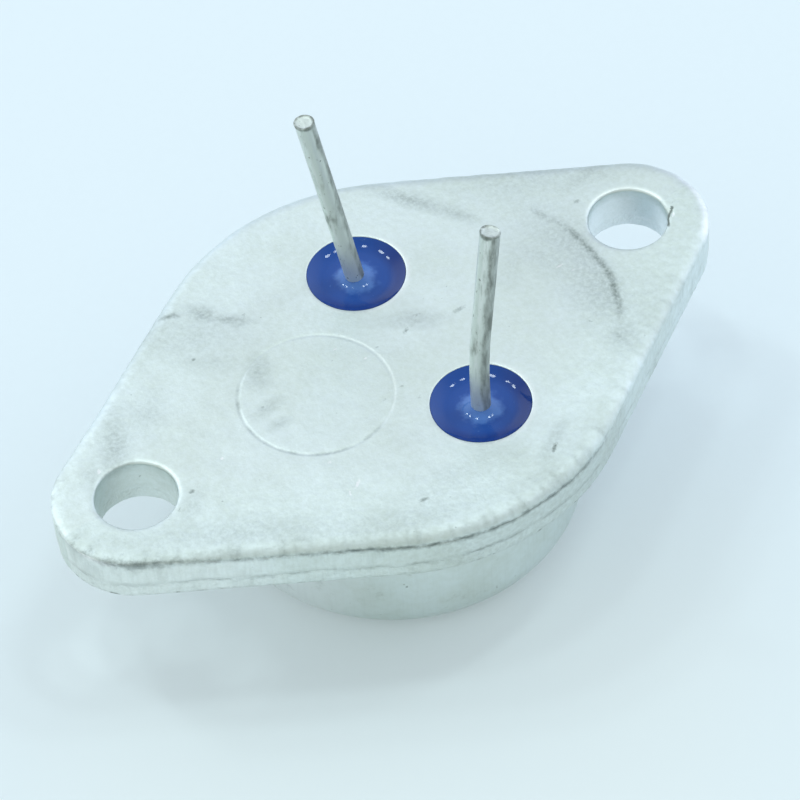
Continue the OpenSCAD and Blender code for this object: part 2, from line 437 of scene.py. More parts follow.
def mounting_hole(bm, sizes, cx, nick):
    """A punched hole: rolled rim, smooth upper wall, torn lower wall. Returns its top and bottom rings."""
    turns = [TURN * i / HOLE_STEPS for i in range(HOLE_STEPS)]
    rings = []
    for out, z in HOLE_ROLL:
        points = []
        for angle in turns:
            off = (wrapped(math.degrees(angle)) - NICK_TOWARDS) / NICK_WIDTH
            dent = NICK_DEPTH * nick * math.exp(-off ** 2) * max(0.0, 1 + z / 0.5) * (z < 0)
            uneven = 0.008 * wobble(cx + 2 * math.cos(angle), 2 * math.sin(angle), z) * (z < 0)
            radius = sizes.hole_radius + out + dent + uneven
            points.append((cx + radius * math.cos(angle), radius * math.sin(angle), z - dent))
        rings.append(ring(bm, points))
    for out, share in HOLE_TEAR:
        points = []
        for angle in turns:
            rough = wobble(math.cos(angle) * 4, math.sin(angle) * 4, cx + share * 2)
            tear = -sizes.shear_depth - 0.2 * wobble(math.cos(angle) * 1.5, math.sin(angle) * 1.5, cx)
            radius = sizes.hole_radius + out + 0.02 * rough * (0.0 < share < 1.0)
            points.append((cx + radius * math.cos(angle), radius * math.sin(angle),
                           tear + (-sizes.thickness - tear) * share))
        rings.append(ring(bm, points))
    bridge_all(bm, rings)
    top = (cx, 0.0, sizes.hole_radius + HOLE_ROLL[0][0], HOLE_STEPS)
    bottom = (cx, 0.0, sizes.hole_radius + HOLE_TEAR[-1][0], HOLE_STEPS)
    return (rings[0], top), (rings[-1], bottom)


def round_wall(bm, cx, cy, count, profile):
    """A plain round wall from its profile of radius and height. Returns its top and bottom rings."""
    rings = [ring(bm, circle_points(cx, cy, radius, z, count)) for radius, z in profile]
    bridge_all(bm, rings)
    return (rings[0], (cx, cy, profile[0][0], count)), (rings[-1], (cx, cy, profile[-1][0], count))


# Marks on the seating face, each a row of x, y, length, width, turn in degrees and strength.
# Soft grey smudges
SMUDGES = [
    (-7.3, 8.8, 1.0, 0.26, -18, 0.7), (-6.0, 7.9, 1.3, 0.9, -60, 0.5), (-5.1, 6.75, 1.9, 0.5, -42, 0.5),
    (-4.9, 6.2, 0.8, 0.5, -30, 0.35), (-6.9, 6.9, 4.4, 2.6, -38, 0.22), (-7.4, 5.0, 3.0, 1.1, -38, 0.2),
    (15.6, 3.5, 2.4, 0.6, -30, 0.2), (12.6, 5.4, 4.5, 0.4, -32, 0.12), (17.6, 2.6, 1.4, 0.6, -50, 0.1),
    (11.7, 2.85, 1.3, 0.4, -80, 0.45), (10.4, 0.2, 4.6, 1.8, -60, 0.2), (13.0, 6.2, 5.0, 2.6, -35, 0.16),
    (-14.3, 3.1, 3.0, 1.1, 58, 0.32), (-16.3, 2.2, 1.6, 0.8, 60, 0.22), (-11.8, 4.0, 2.4, 1.4, 50, 0.2),
    (-5.9, 3.0, 1.8, 1.0, 60, 0.35), (-6.8, 0.7, 1.3, 0.6, 10, 0.3), (-6.9, -0.5, 1.0, 0.5, 0, 0.3),
    (-13.2, -2.2, 1.6, 0.8, 40, 0.2), (-12.2, -5.2, 8.0, 1.5, -32, 0.2), (-6.0, -9.2, 7.5, 1.4, -18, 0.2),
    (2.3, 1.1, 2.4, 0.9, -35, 0.3), (6.9, 8.0, 3.2, 0.7, -60, 0.4), (8.3, 5.7, 2.0, 0.6, -62, 0.3),
    (11.5, 1.3, 3.8, 2.6, -70, 0.22), (15.4, 3.9, 2.6, 0.8, 10, 0.25), (8.5, 1.0, 3.0, 1.2, 30, 0.14),
    (3.2, -9.6, 2.0, 0.6, 30, 0.25), (-2.0, -8.6, 5.0, 1.5, -5, 0.12), (10.0, -6.3, 1.6, 1.2, 60, 0.2),
    (9.8, -6.2, 0.9, 0.5, 70, 0.32), (-10.2, -7.2, 1.8, 0.5, -32, 0.25),
]
# Broad faint patches of painted shade, added to the smudges
SHADE_PATCHES = [
    (11.8, 5.0, 9.5, 3.2, -33, 0.11), (10.8, -3.9, 6.0, 3.6, -70, 0.13), (11.5, 1.0, 5.0, 3.6, -60, 0.07),
    (-12.8, 5.6, 9.0, 1.6, 57, 0.1), (-8.6, 9.4, 6.0, 1.8, 35, 0.1),
]
# Dark specks
SPECKS = [
    (-12.75, -1.48, 0.36, 0.28, 20, 0.75), (-13.85, -2.1, 0.5, 0.16, 40, 0.6),
    (-4.0, -8.8, 0.6, 0.26, -12, 0.7),
    (-8.0, 5.64, 0.26, 0.22, 0, 0.8), (-11.83, 3.77, 0.26, 0.22, 0, 0.6), (-1.87, -2.39, 0.3, 0.2, 60, 0.6),
    (-0.7, -2.2, 0.26, 0.2, 0, 0.6), (-0.4, -3.3, 0.4, 0.26, 30, 0.5), (-0.2, 0.67, 0.24, 0.18, 0, 0.6),
    (1.6, 0.72, 0.5, 0.2, 25, 0.75), (2.6, 1.25, 0.7, 0.3, -20, 0.6), (4.53, 0.23, 0.8, 0.3, 0, 0.65),
    (13.72, 2.58, 0.5, 0.36, 0, 0.6), (9.3, -4.46, 0.4, 0.24, -30, 0.6), (12.1, -4.4, 0.36, 0.26, 40, 0.5),
    (10.9, -6.86, 0.34, 0.24, 30, 0.5), (3.0, -10.0, 0.8, 0.24, 40, 0.75), (-2.89, -9.48, 0.3, 0.16, 60, 0.6),
    (-6.99, 0.88, 0.3, 0.2, 20, 0.7), (-6.3, 0.4, 0.26, 0.16, 0, 0.5), (-7.0, -0.5, 0.3, 0.16, 10, 0.6),
    (-15.2, 2.9, 0.3, 0.2, 20, 0.5), (-13.4, 4.3, 0.3, 0.2, 70, 0.4), (9.85, -6.25, 0.5, 0.4, 0, 0.4),
    (17.34, -0.76, 0.66, 0.11, 42, 1.2), (16.88, -1.1, 0.6, 0.12, 40, 1.1), (-4.35, 6.6, 0.34, 0.24, 20, 0.6),
    (-13.75, 1.1, 0.5, 0.4, 0, 0.9), (16.58, -1.45, 0.5, 0.12, 58, 1.1), (-17.9, -3.3, 0.5, 0.3, -40, 0.6),
    (-10.1, 2.1, 0.2, 0.14, 0, 0.4), (6.3, 3.1, 0.3, 0.12, 50, 0.4), (0.4, 9.2, 0.3, 0.16, 10, 0.35),
]
# Small dents, made bright by painted glints
GLINTING_DENTS = [
    (-10.43, -0.62, 0.2, 0.14, 30, 0.9), (-15.72, 2.38, 0.3, 0.18, 40, 1.0), (-6.0, -6.0, 0.6, 0.14, 35, 0.9),
    (-6.65, -6.3, 0.75, 0.1, 80, 0.8), (-1.98, 1.85, 0.24, 0.12, 20, 0.9), (-1.6, 1.3, 0.16, 0.1, 0, 0.8),
    (-1.12, 0.44, 0.3, 0.1, -25, 0.9),
    (-6.34, -4.07, 0.26, 0.16, 0, 0.8), (10.3, -0.5, 0.7, 0.12, 10, 0.8), (10.9, -1.2, 0.9, 0.12, -20, 0.7),
    (17.1, -1.2, 0.4, 0.12, 45, 0.8), (8.0, -2.1, 0.3, 0.1, 60, 0.5), (4.9, -8.2, 0.4, 0.1, 20, 0.5),
]
# Painted highlight on a fold in the cut edge at the end towards -X, as one such row
FOLD_HIGHLIGHT = (-18.75, -2.05, 1.7, 0.8, -57, 1.6)
# Grey arc near the end towards +X: its radius about the plate's centre and its ends in degrees
GREY_ARC_RADIUS = 12.25
GREY_ARC_ENDS = (-34.0, 17.0)


def mark_field(marks, x, y, reach):
    """Strength of the nearest listed mark: full at its middle, half at its edge, none past its reach."""
    strongest = 0.0
    for mx, my, long, wide, turn, strength in marks:
        dx, dy = x - mx, y - my
        if abs(dx) + abs(dy) > reach * (long + wide):
            continue
        angle = math.radians(turn)
        along = (dx * math.cos(angle) + dy * math.sin(angle)) / (long / 2)
        aside = (dy * math.cos(angle) - dx * math.sin(angle)) / (wide / 2)
        share = 1 - math.hypot(along, aside) / reach
        strongest = max(strongest, strength * max(0.0, share) * reach / (reach - 1) * 0.5)
    return min(strongest, 1.0)


def grey_arc_field(x, y):
    """Strength of the grey arc: a fine line with a soft trail on its inner side."""
    angle = math.degrees(math.atan2(y, x))
    start, end = GREY_ARC_ENDS
    ends = smooth_step(start, start + 22, angle) * (1 - smooth_step(end - 14, end, angle))
    drift = 0.028 * max(0.0, -12 - angle)
    off = math.hypot(x, y) - GREY_ARC_RADIUS + drift - 0.06 * wobble(angle * 0.15)
    core = 1 - smooth_step(0.0, 0.3, abs(off))
    trail = 1 - smooth_step(0.0, 3.6 if off < 0 else 0.7, abs(off))
    return ends * min(1.0, 0.45 * core * (0.85 + 0.7 * wobble(angle * 0.2, 4.0)) + 0.26 * trail)


# Painted shade, with some dirt, in the crease of the cut edge on the side towards -Y: X, strength and how far
# down it spreads
CREASE_SHADE_ALONG = [(-19.4, 0.35, 0.4), (-18.3, 0.85, 0.8), (-16.4, 0.9, 0.9), (-15.5, 0.6, 0.4), (-9.8, 0.6, 0.35),
        (-8.8, 0.9, 0.35), (3.9, 0.9, 0.35), (5.4, 0.4, 0.3), (7.5, 0.0, 0.3)]


def crease_shade_field(x, y, above):
    """Strength of the painted shade and soiling at a height above (or below) the crease, for one place on the
    outline.
    """
    share, deep = 0.4, 0.35
    if y < 0.6:
        share = CREASE_SHADE_ALONG[0][1] if x < CREASE_SHADE_ALONG[0][0] else 0.0
        for (x0, s0, d0), (x1, s1, d1) in zip(CREASE_SHADE_ALONG, CREASE_SHADE_ALONG[1:]):
            if x0 <= x <= x1:
                share = s0 + (s1 - s0) * (x - x0) / (x1 - x0)
                deep = d0 + (d1 - d0) * (x - x0) / (x1 - x0)
    spread = 1 - smooth_step(0.02, 0.2, above) if above > 0 else 1 - smooth_step(-0.04, -deep, above)
    return share * spread * (0.85 + 0.5 * wobble(x * 1.9, y * 1.9, above * 3.0))


def edge_highlight(nx, ny, inset):
    """Strength of the painted highlight on the rolled edge, strongest on the side and end towards +X."""
    angle = math.degrees(math.atan2(ny, nx))
    right = smooth_step(-62.0, -54.0, angle) * (1 - smooth_step(20.0, 55.0, angle))
    tip = smooth_step(-57.0, -46.0, angle) * (1 - smooth_step(0.0, 25.0, angle))
    left = smooth_step(82.0, 110.0, angle) + (1 - smooth_step(-178.0, -165.0, angle)) * (angle < -120)
    return (0.5 * right + 0.35 * tip + 0.12 * min(left, 1.0)) * smooth_step(0.7, 0.0, inset)


def round_mark(x, y, cx, cy, radius, width, towards, spread):
    """Strength of a ring of a given width round a centre, strongest towards one direction in degrees."""
    off = abs(math.hypot(x - cx, y - cy) - radius) / (width / 2)
    if off > 1:
        return 0.0
    turned = wrapped(math.degrees(math.atan2(y - cy, x - cx)) - towards)
    return (1 - off * off) * (1 - smooth_step(spread * 0.4, spread, abs(turned)))


def rim_highlights(x, y, sizes, seals, leads):
    """Strength of the painted highlights on the rims round the seals, the mounting holes and the coined round
    mark.
    """
    hole_x = sizes.hole_spacing / 2
    hole_rim = sizes.hole_radius + 0.12
    rims = [round_mark(x, y, leads.offset, side * leads.spacing / 2, seals.radius + 0.15, 0.4, -60, 150)
            for side in (1, -1)]
    rims.append(0.3 * round_mark(x, y, -hole_x, 0.0, hole_rim, 0.4, -40, 130))
    rims.append(round_mark(x, y, hole_x, 0.0, hole_rim, 0.4, 60, 100))
    rims.append(0.75 * round_mark(x, y, -sizes.mark_offset, 0.0, sizes.mark_radius + 0.08, 0.24, -15, 80))
    return 0.4 * max(rims)


# Values painted on the plate's vertices for its material
PLATE_MARKS = ("below_crease", "dirt_and_shade_mask", "pitted", "dent_glint", "highlighted", "crease_shaded", "pebbled")
# What below_crease holds away from the cut edge
AWAY_FROM_CREASE = -0.5
# Vertices lower than these are part of a mounting hole's wall, or no longer part of the face and its rims
HOLE_WALL_TOP = -0.25
FACE_BOTTOM = -0.45


def paint_edge(vert, marks, sizes, place, inset, z, crease):
    """Paints a vertex of the cut edge, from its place and outward direction on the outline."""
    x, y, nx, ny = place
    near = y < 0
    rolled = near * (z > crease - 0.01)
    wall = z < crease
    vert[marks["below_crease"]] = crease - z
    vert[marks["crease_shaded"]] = max(0.0, crease_shade_field(x, y, z - crease))
    # Painted highlights: a fold below the crease, a lighter end of the wall towards -X, and the rolled edge
    fold_highlight = mark_field([FOLD_HIGHLIGHT], x, y, 2.0) * smooth_step(-0.36, -0.1, z - crease) * wall
    end_wall_light = 0.4 * wall * near * smooth_step(-9.0, -14.0, x)
    vert[marks["highlighted"]] = max(edge_highlight(nx, ny, inset) * (z >= crease), fold_highlight, end_wall_light)
    torn_line = 1 - smooth_step(0.0, 0.1, abs(z + sizes.shear_depth + 0.02))
    dirt_and_shade = 0.5 * torn_line * max(0.0, 0.4 + 1.2 * wobble(x * 0.8, y * 0.8, 21.0))
    dirt_and_shade += 0.3 * rolled * max(0.0, wobble(x * 2.4, y * 2.4, 13.0)) * smooth_step(1.0, 0.5, inset)
    # Painted shade, with some mottling, over the rolled edge towards -Y
    mottled_shade = rolled * smooth_step(6.0, 2.0, x) * smooth_step(-19.0, -16.0, x)
    dirt_and_shade += 0.09 * mottled_shade * (0.7 + 0.9 * wobble(x * 1.1, y * 1.1, 9.0))
    # Painted shade on the middle of the wall towards -Y
    dirt_and_shade += 0.2 * near * wall * smooth_step(-8.0, -3.0, x) * smooth_step(9.0, 7.0, x)
    vert[marks["dirt_and_shade_mask"]] = dirt_and_shade
    low_line = smooth_step(0.2 - sizes.thickness, 0.06 - sizes.thickness, z)
    vert[marks["pitted"]] = low_line * max(0.0, 0.15 + 1.1 * wobble(x * 2.6, y * 2.6, 17.0))


def paint_face(vert, marks, sizes, seals, leads):
    """Paints a vertex of the seating face or its rims, and sinks it where it is dented."""
    x, y = vert.co.x, vert.co.y
    depth = depth_inside(sizes, x, y)
    dirt_and_shade = max(vert[marks["dirt_and_shade_mask"]], mark_field(SMUDGES, x, y, 2.0), grey_arc_field(x, y))
    # Broad patches of painted shade on the face
    dirt_and_shade += mark_field(SHADE_PATCHES, x, y, 2.0)
    # Painted shade on the side of the coined round mark towards -150 degrees
    groove_shade = round_mark(x, y, -sizes.mark_offset, 0.0, sizes.mark_radius + 0.01, 0.3, -150, 120)
    vert[marks["dirt_and_shade_mask"]] = max(dirt_and_shade, groove_shade * max(0.0, 0.16 + 0.5 * wobble(x * 1.4, y * 1.4, 31.0)))
    pitted = max(vert[marks["pitted"]], mark_field(SPECKS, x, y, 2.2))
    vert[marks["pitted"]] = pitted
    # Painted highlights on the rims round the seals, the holes and the round mark
    vert[marks["highlighted"]] = max(vert[marks["highlighted"]], rim_highlights(x, y, sizes, seals, leads))
    # Dents, made bright by painted glints
    dent_glint = mark_field(GLINTING_DENTS, x, y, 2.2)
    vert[marks["dent_glint"]] = dent_glint
    vert[marks["pebbled"]] = smooth_step(6.0, 0.8, depth) * (1.0 if y < 0 else 0.4)
    dent = smooth_step(0.25, 0.8, pitted) + smooth_step(0.25, 0.8, dent_glint)
    sag = 0.006 * wobble(x * 0.22, y * 0.22, 2.0) + 0.002 * wobble(x * 0.9, y * 0.9, 6.0) - 0.006
    vert.co.z += smooth_step(0.3, FACE_MARGIN, depth) * sag - 0.02 * dent


def plate_edge(bm, marks, sizes):
    """The rolled and cut edge all round the plate, painted. Returns its top and bottom rings."""
    outline = plate_outline(sizes, OUTLINE_SPACING)
    columns = [edge_column(sizes, x, y) for x, y, _, _ in outline]
    rings = []
    for row in range(len(columns[0][0])):
        made = []
        for place, (column, crease) in zip(outline, columns):
            x, y, nx, ny = place
            inset, z = column[row]
            vert = bm.verts.new((x - inset * nx, y - inset * ny, z))
            paint_edge(vert, marks, sizes, place, inset, z, crease)
            made.append(vert)
        rings.append(made)
    bridge_all(bm, rings)
    return rings[0], rings[-1]


def build_plate(sizes, seals, leads, material):
    """The base plate: flat face, coined round mark, rolled and sheared edge, holes and underside."""
    bm = bmesh.new()
    marks = {name: bm.verts.layers.float.new(name) for name in PLATE_MARKS}
    edge_top, edge_bottom = plate_edge(bm, marks, sizes)
    on_edge = set(bm.verts)
    openings = [mounting_hole(bm, sizes, -sizes.hole_spacing / 2, 0.0),
                mounting_hole(bm, sizes, sizes.hole_spacing / 2, 1.0)]
    rim = seals.radius
    profile = [(rim + 0.07, 0.0), (rim + 0.035, -0.01), (rim + 0.01, -0.035), (rim, -0.08),
               (rim, -sizes.thickness)]
    for side in (1, -1):
        openings.append(round_wall(bm, leads.offset, side * leads.spacing / 2, 128, profile))
    tops = [top for top, _ in openings]
    bottoms = [bottom for _, bottom in openings]
    cx, radius, deep = -sizes.mark_offset, sizes.mark_radius, sizes.mark_depth
    profile = [
        (radius + 0.17, 0.0), (radius + 0.1, -0.2 * deep), (radius + 0.05, -0.85 * deep), (radius, -deep),
        (radius - 0.05, -0.85 * deep), (radius - 0.1, -0.2 * deep), (radius - 0.17, 0.0),
    ]
    top, inner = round_wall(bm, cx, 0.0, 180, profile)
    tops.append(top)
    holes_clear = outside_of([opening for _, opening in tops])

    def on_face(x, y, margin):
        return depth_inside(sizes, x, y) > FACE_MARGIN + SLIVER + margin and holes_clear(x, y, margin)

    def in_mark(x, y, margin):
        return math.hypot(x - cx, y) < inner[1][2] - margin

    fill_flat(bm, edge_top, [r for r, _ in tops], 0.0, FACE_SPACING, on_face)
    fill_flat(bm, inner[0], [], 0.0, FACE_SPACING, in_mark)
    recess_radius, recess_z = radius + 0.05, 0.35 - sizes.thickness
    profile = [(recess_radius, -sizes.thickness), (recess_radius, recess_z)]
    mouth, roof = round_wall(bm, cx, 0.0, 96, profile)
    bottoms.append(mouth)
    holes_clear_below = outside_of([opening for _, opening in bottoms])

    def on_underside(x, y, margin):
        inset = UNDERSIDE_MARGIN + SLIVER + margin
        return depth_inside(sizes, x, y) > inset and holes_clear_below(x, y, margin)

    def in_recess(x, y, margin):
        return math.hypot(x - cx, y) < recess_radius - margin

    fill_flat(bm, edge_bottom, [r for r, _ in bottoms], -sizes.thickness, UNDERSIDE_SPACING, on_underside)
    fill_flat(bm, roof[0], [], recess_z, UNDERSIDE_SPACING, in_recess)
    for vert in bm.verts:
        x, y, z = vert.co
        if vert not in on_edge:
            vert[marks["below_crease"]] = AWAY_FROM_CREASE
            from_hole = math.hypot(abs(x) - sizes.hole_spacing / 2, y) - sizes.hole_radius
            # Painted light on the walls of the mounting holes, stronger in the hole towards +X
            if z < HOLE_WALL_TOP and abs(from_hole) < 0.3:
                vert[marks["highlighted"]] = 0.5 if x > 0 else 0.2
        if z > FACE_BOTTOM:
            paint_face(vert, marks, sizes, seals, leads)
    return new_piece("base_plate", bm, material, ["flange_plate"], 38.0)


# ---------------------------------------------------------------- shapes: glass seals


def seal_height(sizes, r):
    """Height of the glass at a distance from the lead: hollow ring, rim and climb up the lead."""
    low = -sizes.trough_drop
    if r > sizes.trough_radius:
        share = (r - sizes.trough_radius) / (sizes.radius - sizes.trough_radius)
        return low + (sizes.trough_drop - sizes.rim_drop) * share ** 1.7
    share = max(0.0, (sizes.trough_radius - 0.1 - r) / (sizes.trough_radius - 0.6))
    return low + sizes.climb * min(share, 1.15) ** 2.3


def build_seal(name, replaced, side, sizes, leads, plate, material):
    """A fused glass seal: hollow on top, wetted on to the lead and the plate.

    Its "shaded" value darkens the rim on the side towards -Y and +X.
    """
    bm = bmesh.new()
    shaded = bm.verts.layers.float.new("shaded")
    cx, cy = leads.offset, side * leads.spacing / 2
    count = 144
    bore = 0.3
    outer = sizes.radius - 0.004
    steps = 44
    radii = [bore + (outer - bore) * (k / steps) for k in range(steps + 1)]
    rings = []
    for r in radii:
        points = []
        for i in range(count):
            angle = TURN * i / count
            x, y = r * math.cos(angle), r * math.sin(angle)
            ripple = 0.012 * wobble(x * 0.9 + cx, y * 0.9 + cy, side * 3.0) * smooth_step(0.5, 1.4, r)
            points.append((cx + x, cy + y, seal_height(sizes, r) + ripple))
        rings.append(ring(bm, points))
        for vert, (x, y, _) in zip(rings[-1], points):
            towards = ((x - cx) * 0.25 - (y - cy) * 0.97) / r
            vert[shaded] = smooth_step(1.45, 2.2, r) * smooth_step(-0.7, 0.5, towards)
    bottom = -plate.thickness
    for r, z in [
        (outer, -1.0), (outer, bottom + 0.08), (outer - 0.06, bottom + 0.02), (outer - 0.3, bottom + 0.1),
        (1.4, bottom + 0.2), (0.7, bottom + 0.08), (0.5, bottom - 0.02), (bore, bottom),
    ]:
        rings.append(ring(bm, circle_points(cx, cy, r, z, count)))
    bridge_all(bm, rings)
    bridge(bm, rings[-1], rings[0])
    return new_piece(name, bm, material, [replaced], 40.0)


# ---------------------------------------------------------------- geometry node trees


def geometry_tree(name, inputs):
    """A geometry node tree with a mesh coming in and going out, and named inputs with their defaults."""
    tree = bpy.data.node_groups.new(name, "GeometryNodeTree")
    tree.interface.new_socket("Geometry", in_out="INPUT", socket_type="NodeSocketGeometry")
    tree.interface.new_socket("Geometry", in_out="OUTPUT", socket_type="NodeSocketGeometry")
    for label, kind, default in inputs:
        socket = tree.interface.new_socket(label, in_out="INPUT", socket_type=kind)
        if default is not None:
            socket.default_value = default
    return tree, node(tree, "NodeGroupInput").outputs


def finish_tree(tree, geometry_out, material):
    """Ends a tree in Realize Instances and Set Material."""
    realized = node(tree, "GeometryNodeRealizeInstances", {"Geometry": geometry_out}).outputs[0]
    dressed = node(tree, "GeometryNodeSetMaterial", {"Geometry": realized, "Material": material}).outputs[0]
    node(tree, "NodeGroupOutput", {"Geometry": dressed})


def drawn_wire_tree():
    """Sweeps a round wire along a path of edges whose "girth" attribute scales its radius."""
    tree, given = geometry_tree("drawn wire", [
        ("Radius", "NodeSocketFloat", 0.0005),
        ("Sides", "NodeSocketInt", 48),
        ("Die marks", "NodeSocketFloat", 0.000006),
        ("Material", "NodeSocketMaterial", None),
    ])
    girth = node(tree, "GeometryNodeInputNamedAttribute", {"Name": "girth"}, data_type="FLOAT").outputs[0]
    path = node(tree, "GeometryNodeMeshToCurve", {"Mesh": given["Geometry"]}).outputs[0]
    section = node(tree, "GeometryNodeCurvePrimitiveCircle",
                   {"Resolution": given["Sides"], "Radius": given["Radius"]}).outputs[0]
    wire = node(tree, "GeometryNodeCurveToMesh",
                {"Curve": path, "Profile Curve": section, "Scale": girth, "Fill Caps": True}).outputs[0]
    place = node(tree, "GeometryNodeInputPosition").outputs[0]
    # Fine lines along the wire, ten times as long as they are wide
    drawn = vector_math(tree, "MULTIPLY", place, (4200.0, 4200.0, 420.0))
    marks = node(tree, "ShaderNodeTexNoise", {"Vector": drawn, "Scale": 1.0, "Detail": 2.0}).outputs[0]
    depth = combine(tree, "MULTIPLY", combine(tree, "SUBTRACT", marks, 0.5), given["Die marks"])
    outward = node(tree, "GeometryNodeInputNormal").outputs[0]
    push = node(tree, "ShaderNodeVectorMath", {0: outward, "Scale": depth}, operation="SCALE").outputs[0]
    marked = node(tree, "GeometryNodeSetPosition", {"Geometry": wire, "Offset": push}).outputs[0]
    finish_tree(tree, marked, given["Material"])
    return tree


def turned_part_tree():
    """Turns a profile round the Z axis. Its points lie in the XZ plane and both ends stand on the axis."""
    tree, given = geometry_tree("turned part", [
        ("Steps round", "NodeSocketInt", 192),
        ("Hub", "NodeSocketFloat", 0.001),
        ("Material", "NodeSocketMaterial", None),
    ])
    position = node(tree, "GeometryNodeInputPosition").outputs[0]
    place = node(tree, "ShaderNodeSeparateXYZ", {0: position}).outputs
    sideways = combine(tree, "SUBTRACT", place["X"], given["Hub"])
    downward = combine(tree, "MULTIPLY", place["Z"], -1.0)
    flat = node(tree, "ShaderNodeCombineXYZ", {"X": sideways, "Y": downward}).outputs[0]
    laid = node(tree, "GeometryNodeSetPosition", {"Geometry": given["Geometry"], "Position": flat}).outputs[0]
    profile = node(tree, "GeometryNodeMeshToCurve", {"Mesh": laid}).outputs[0]
    hub = node(tree, "GeometryNodeCurvePrimitiveCircle",
               {"Resolution": given["Steps round"], "Radius": given["Hub"]}).outputs[0]
    turned = node(tree, "GeometryNodeCurveToMesh", {"Curve": hub, "Profile Curve": profile}).outputs[0]
    closed = node(tree, "GeometryNodeMergeByDistance", {"Geometry": turned, "Distance": 0.000002}).outputs[0]
    finish_tree(tree, closed, given["Material"])
    return tree


def grow(tree, mesh, values):
    """Runs a geometry node tree on a mesh and returns the result as a plain mesh."""
    carrier = bpy.data.objects.new("carrier", mesh)
    bpy.context.scene.collection.objects.link(carrier)
    modifier = carrier.modifiers.new("shape", "NODES")
    modifier.node_group = tree
    for item in tree.interface.items_tree:
        if item.in_out == "INPUT" and item.name in values:
            modifier[item.identifier] = values[item.name]
    depsgraph = bpy.context.evaluated_depsgraph_get()
    result = bpy.data.meshes.new_from_object(carrier.evaluated_get(depsgraph))
    bpy.data.objects.remove(carrier)
    return result


def path_mesh(name, points, girths=None):
    """A chain of edges through points given in millimetres, with a girth at each."""
    mesh = bpy.data.meshes.new(name)
    steps = [(i, i + 1) for i in range(len(points) - 1)]
    mesh.from_pydata([tuple(c * MM for c in p) for p in points], steps, [])
    if girths:
        mesh.attributes.new("girth", "FLOAT", "POINT").data.foreach_set("value", girths)
    return mesh


# ---------------------------------------------------------------- shapes: leads


# Lead's sheared tip: distance back from the end and girth, with the slight flare that the shear leaves
TIP_FLARE = [(0.2, 1.0), (0.12, 1.012), (0.07, 1.03), (0.035, 1.035), (0.012, 1.01), (0.0, 0.94)]
# Rings sunk into the cut end: distance in from the last one and depth
TIP_DISH = [(0.05, 0.03), (0.07, 0.03), (0.1, 0.0), (0.12, -0.01)]
# Height above which a lead's vertices belong to its tip, below its highest point
TIP_LENGTH = 0.35
# Distance between the rings of a lead and the steps round its bend
RING_SPACING = 0.2
BEND_STEPS = 12
# Side on which a lead is painted darker as shade, and side along which a highlight line is painted, in
# degrees from +X
SHADED_SIDE = -40.0
HIGHLIGHT_SIDE = -147.0


def lead_path(sizes, side, lean, heading, bend, bend_radius, head_z):
    """Centre line and girth of a lead, from its head inside the can to its sheared tip."""
    cx, cy = sizes.offset, side * sizes.spacing / 2
    lean, heading = math.radians(lean), math.radians(heading)
    head = sizes.head_radius / sizes.radius
    top = head_z + sizes.head_thickness
    points = []
    for z, girth in [
        (head_z, head * 0.93), (head_z + 0.02, head * 0.975), (head_z + 0.06, head), (top - 0.06, head),
        (top - 0.02, head * 0.975), (top, head * 0.92), (top + 0.01, 1.12), (top + 0.08, 1.0),
    ]:
        points.append(((cx, cy, z), girth))
    neck = top + 0.08
    steps = max(2, round((bend - top) / RING_SPACING))
    for k in range(1, steps + 1):
        points.append(((cx, cy, neck + (bend - neck) * k / steps), 1.0))

    def along(out, z):
        return cx + out * math.cos(heading), cy + out * math.sin(heading), z

    for k in range(1, BEND_STEPS + 1):
        angle = lean * k / BEND_STEPS
        points.append((along(bend_radius * (1 - math.cos(angle)), bend + bend_radius * math.sin(angle)), 1.0))
    straight = sizes.reach - bend - bend_radius * lean
    start_out, start_z = bend_radius * (1 - math.cos(lean)), bend + bend_radius * math.sin(lean)
    steps = round(straight / RING_SPACING)
    stations = [((straight - 0.3) * k / steps, 1.0) for k in range(1, steps + 1)]
    for station, girth in stations + [(straight - back, girth) for back, girth in TIP_FLARE]:
        place = along(start_out + station * math.sin(lean), start_z + station * math.cos(lean))
        points.append((place, girth))
    return [p for p, _ in points], [g for _, g in points]


def shear_tip(mesh, sizes, tilt, heading):
    """Tilts the cut end of a lead, dishes it and raises the burr that the shear leaves."""
    bm = bmesh.new()
    bm.from_mesh(mesh)
    bmesh.ops.remove_doubles(bm, verts=bm.verts, dist=1e-7)
    caps = [f for f in bm.faces if len(f.verts) > 4]
    end = max(caps, key=lambda f: f.calc_center_median().z)
    axis = end.normal.copy()
    middle = end.calc_center_median()
    for inset, sink in TIP_DISH:
        bmesh.ops.inset_region(bm, faces=[end], thickness=inset * MM, depth=-sink * MM)
    across = Vector((math.cos(math.radians(heading)), math.sin(math.radians(heading)), 0.0))
    for vert in bm.verts:
        up = (vert.co - middle).dot(axis)
        if up > -TIP_LENGTH * MM and (vert.co - middle).length < 1.2 * MM:
            share = smooth_step(-TIP_LENGTH, -0.02, up / MM)
            offset = vert.co - middle
            slope = offset.dot(across) / (sizes.radius * MM)
            rough = wobble(vert.co.x * 5000, vert.co.y * 5000, vert.co.z * 5000) * 0.02
            vert.co += axis * ((tilt * slope - abs(tilt) + rough) * share * MM)
    poles = [f for f in bm.faces if len(f.verts) > 4]
    bmesh.ops.poke(bm, faces=poles)
    bmesh.ops.recalc_face_normals(bm, faces=bm.faces)
    bm.to_mesh(mesh)
    bm.free()


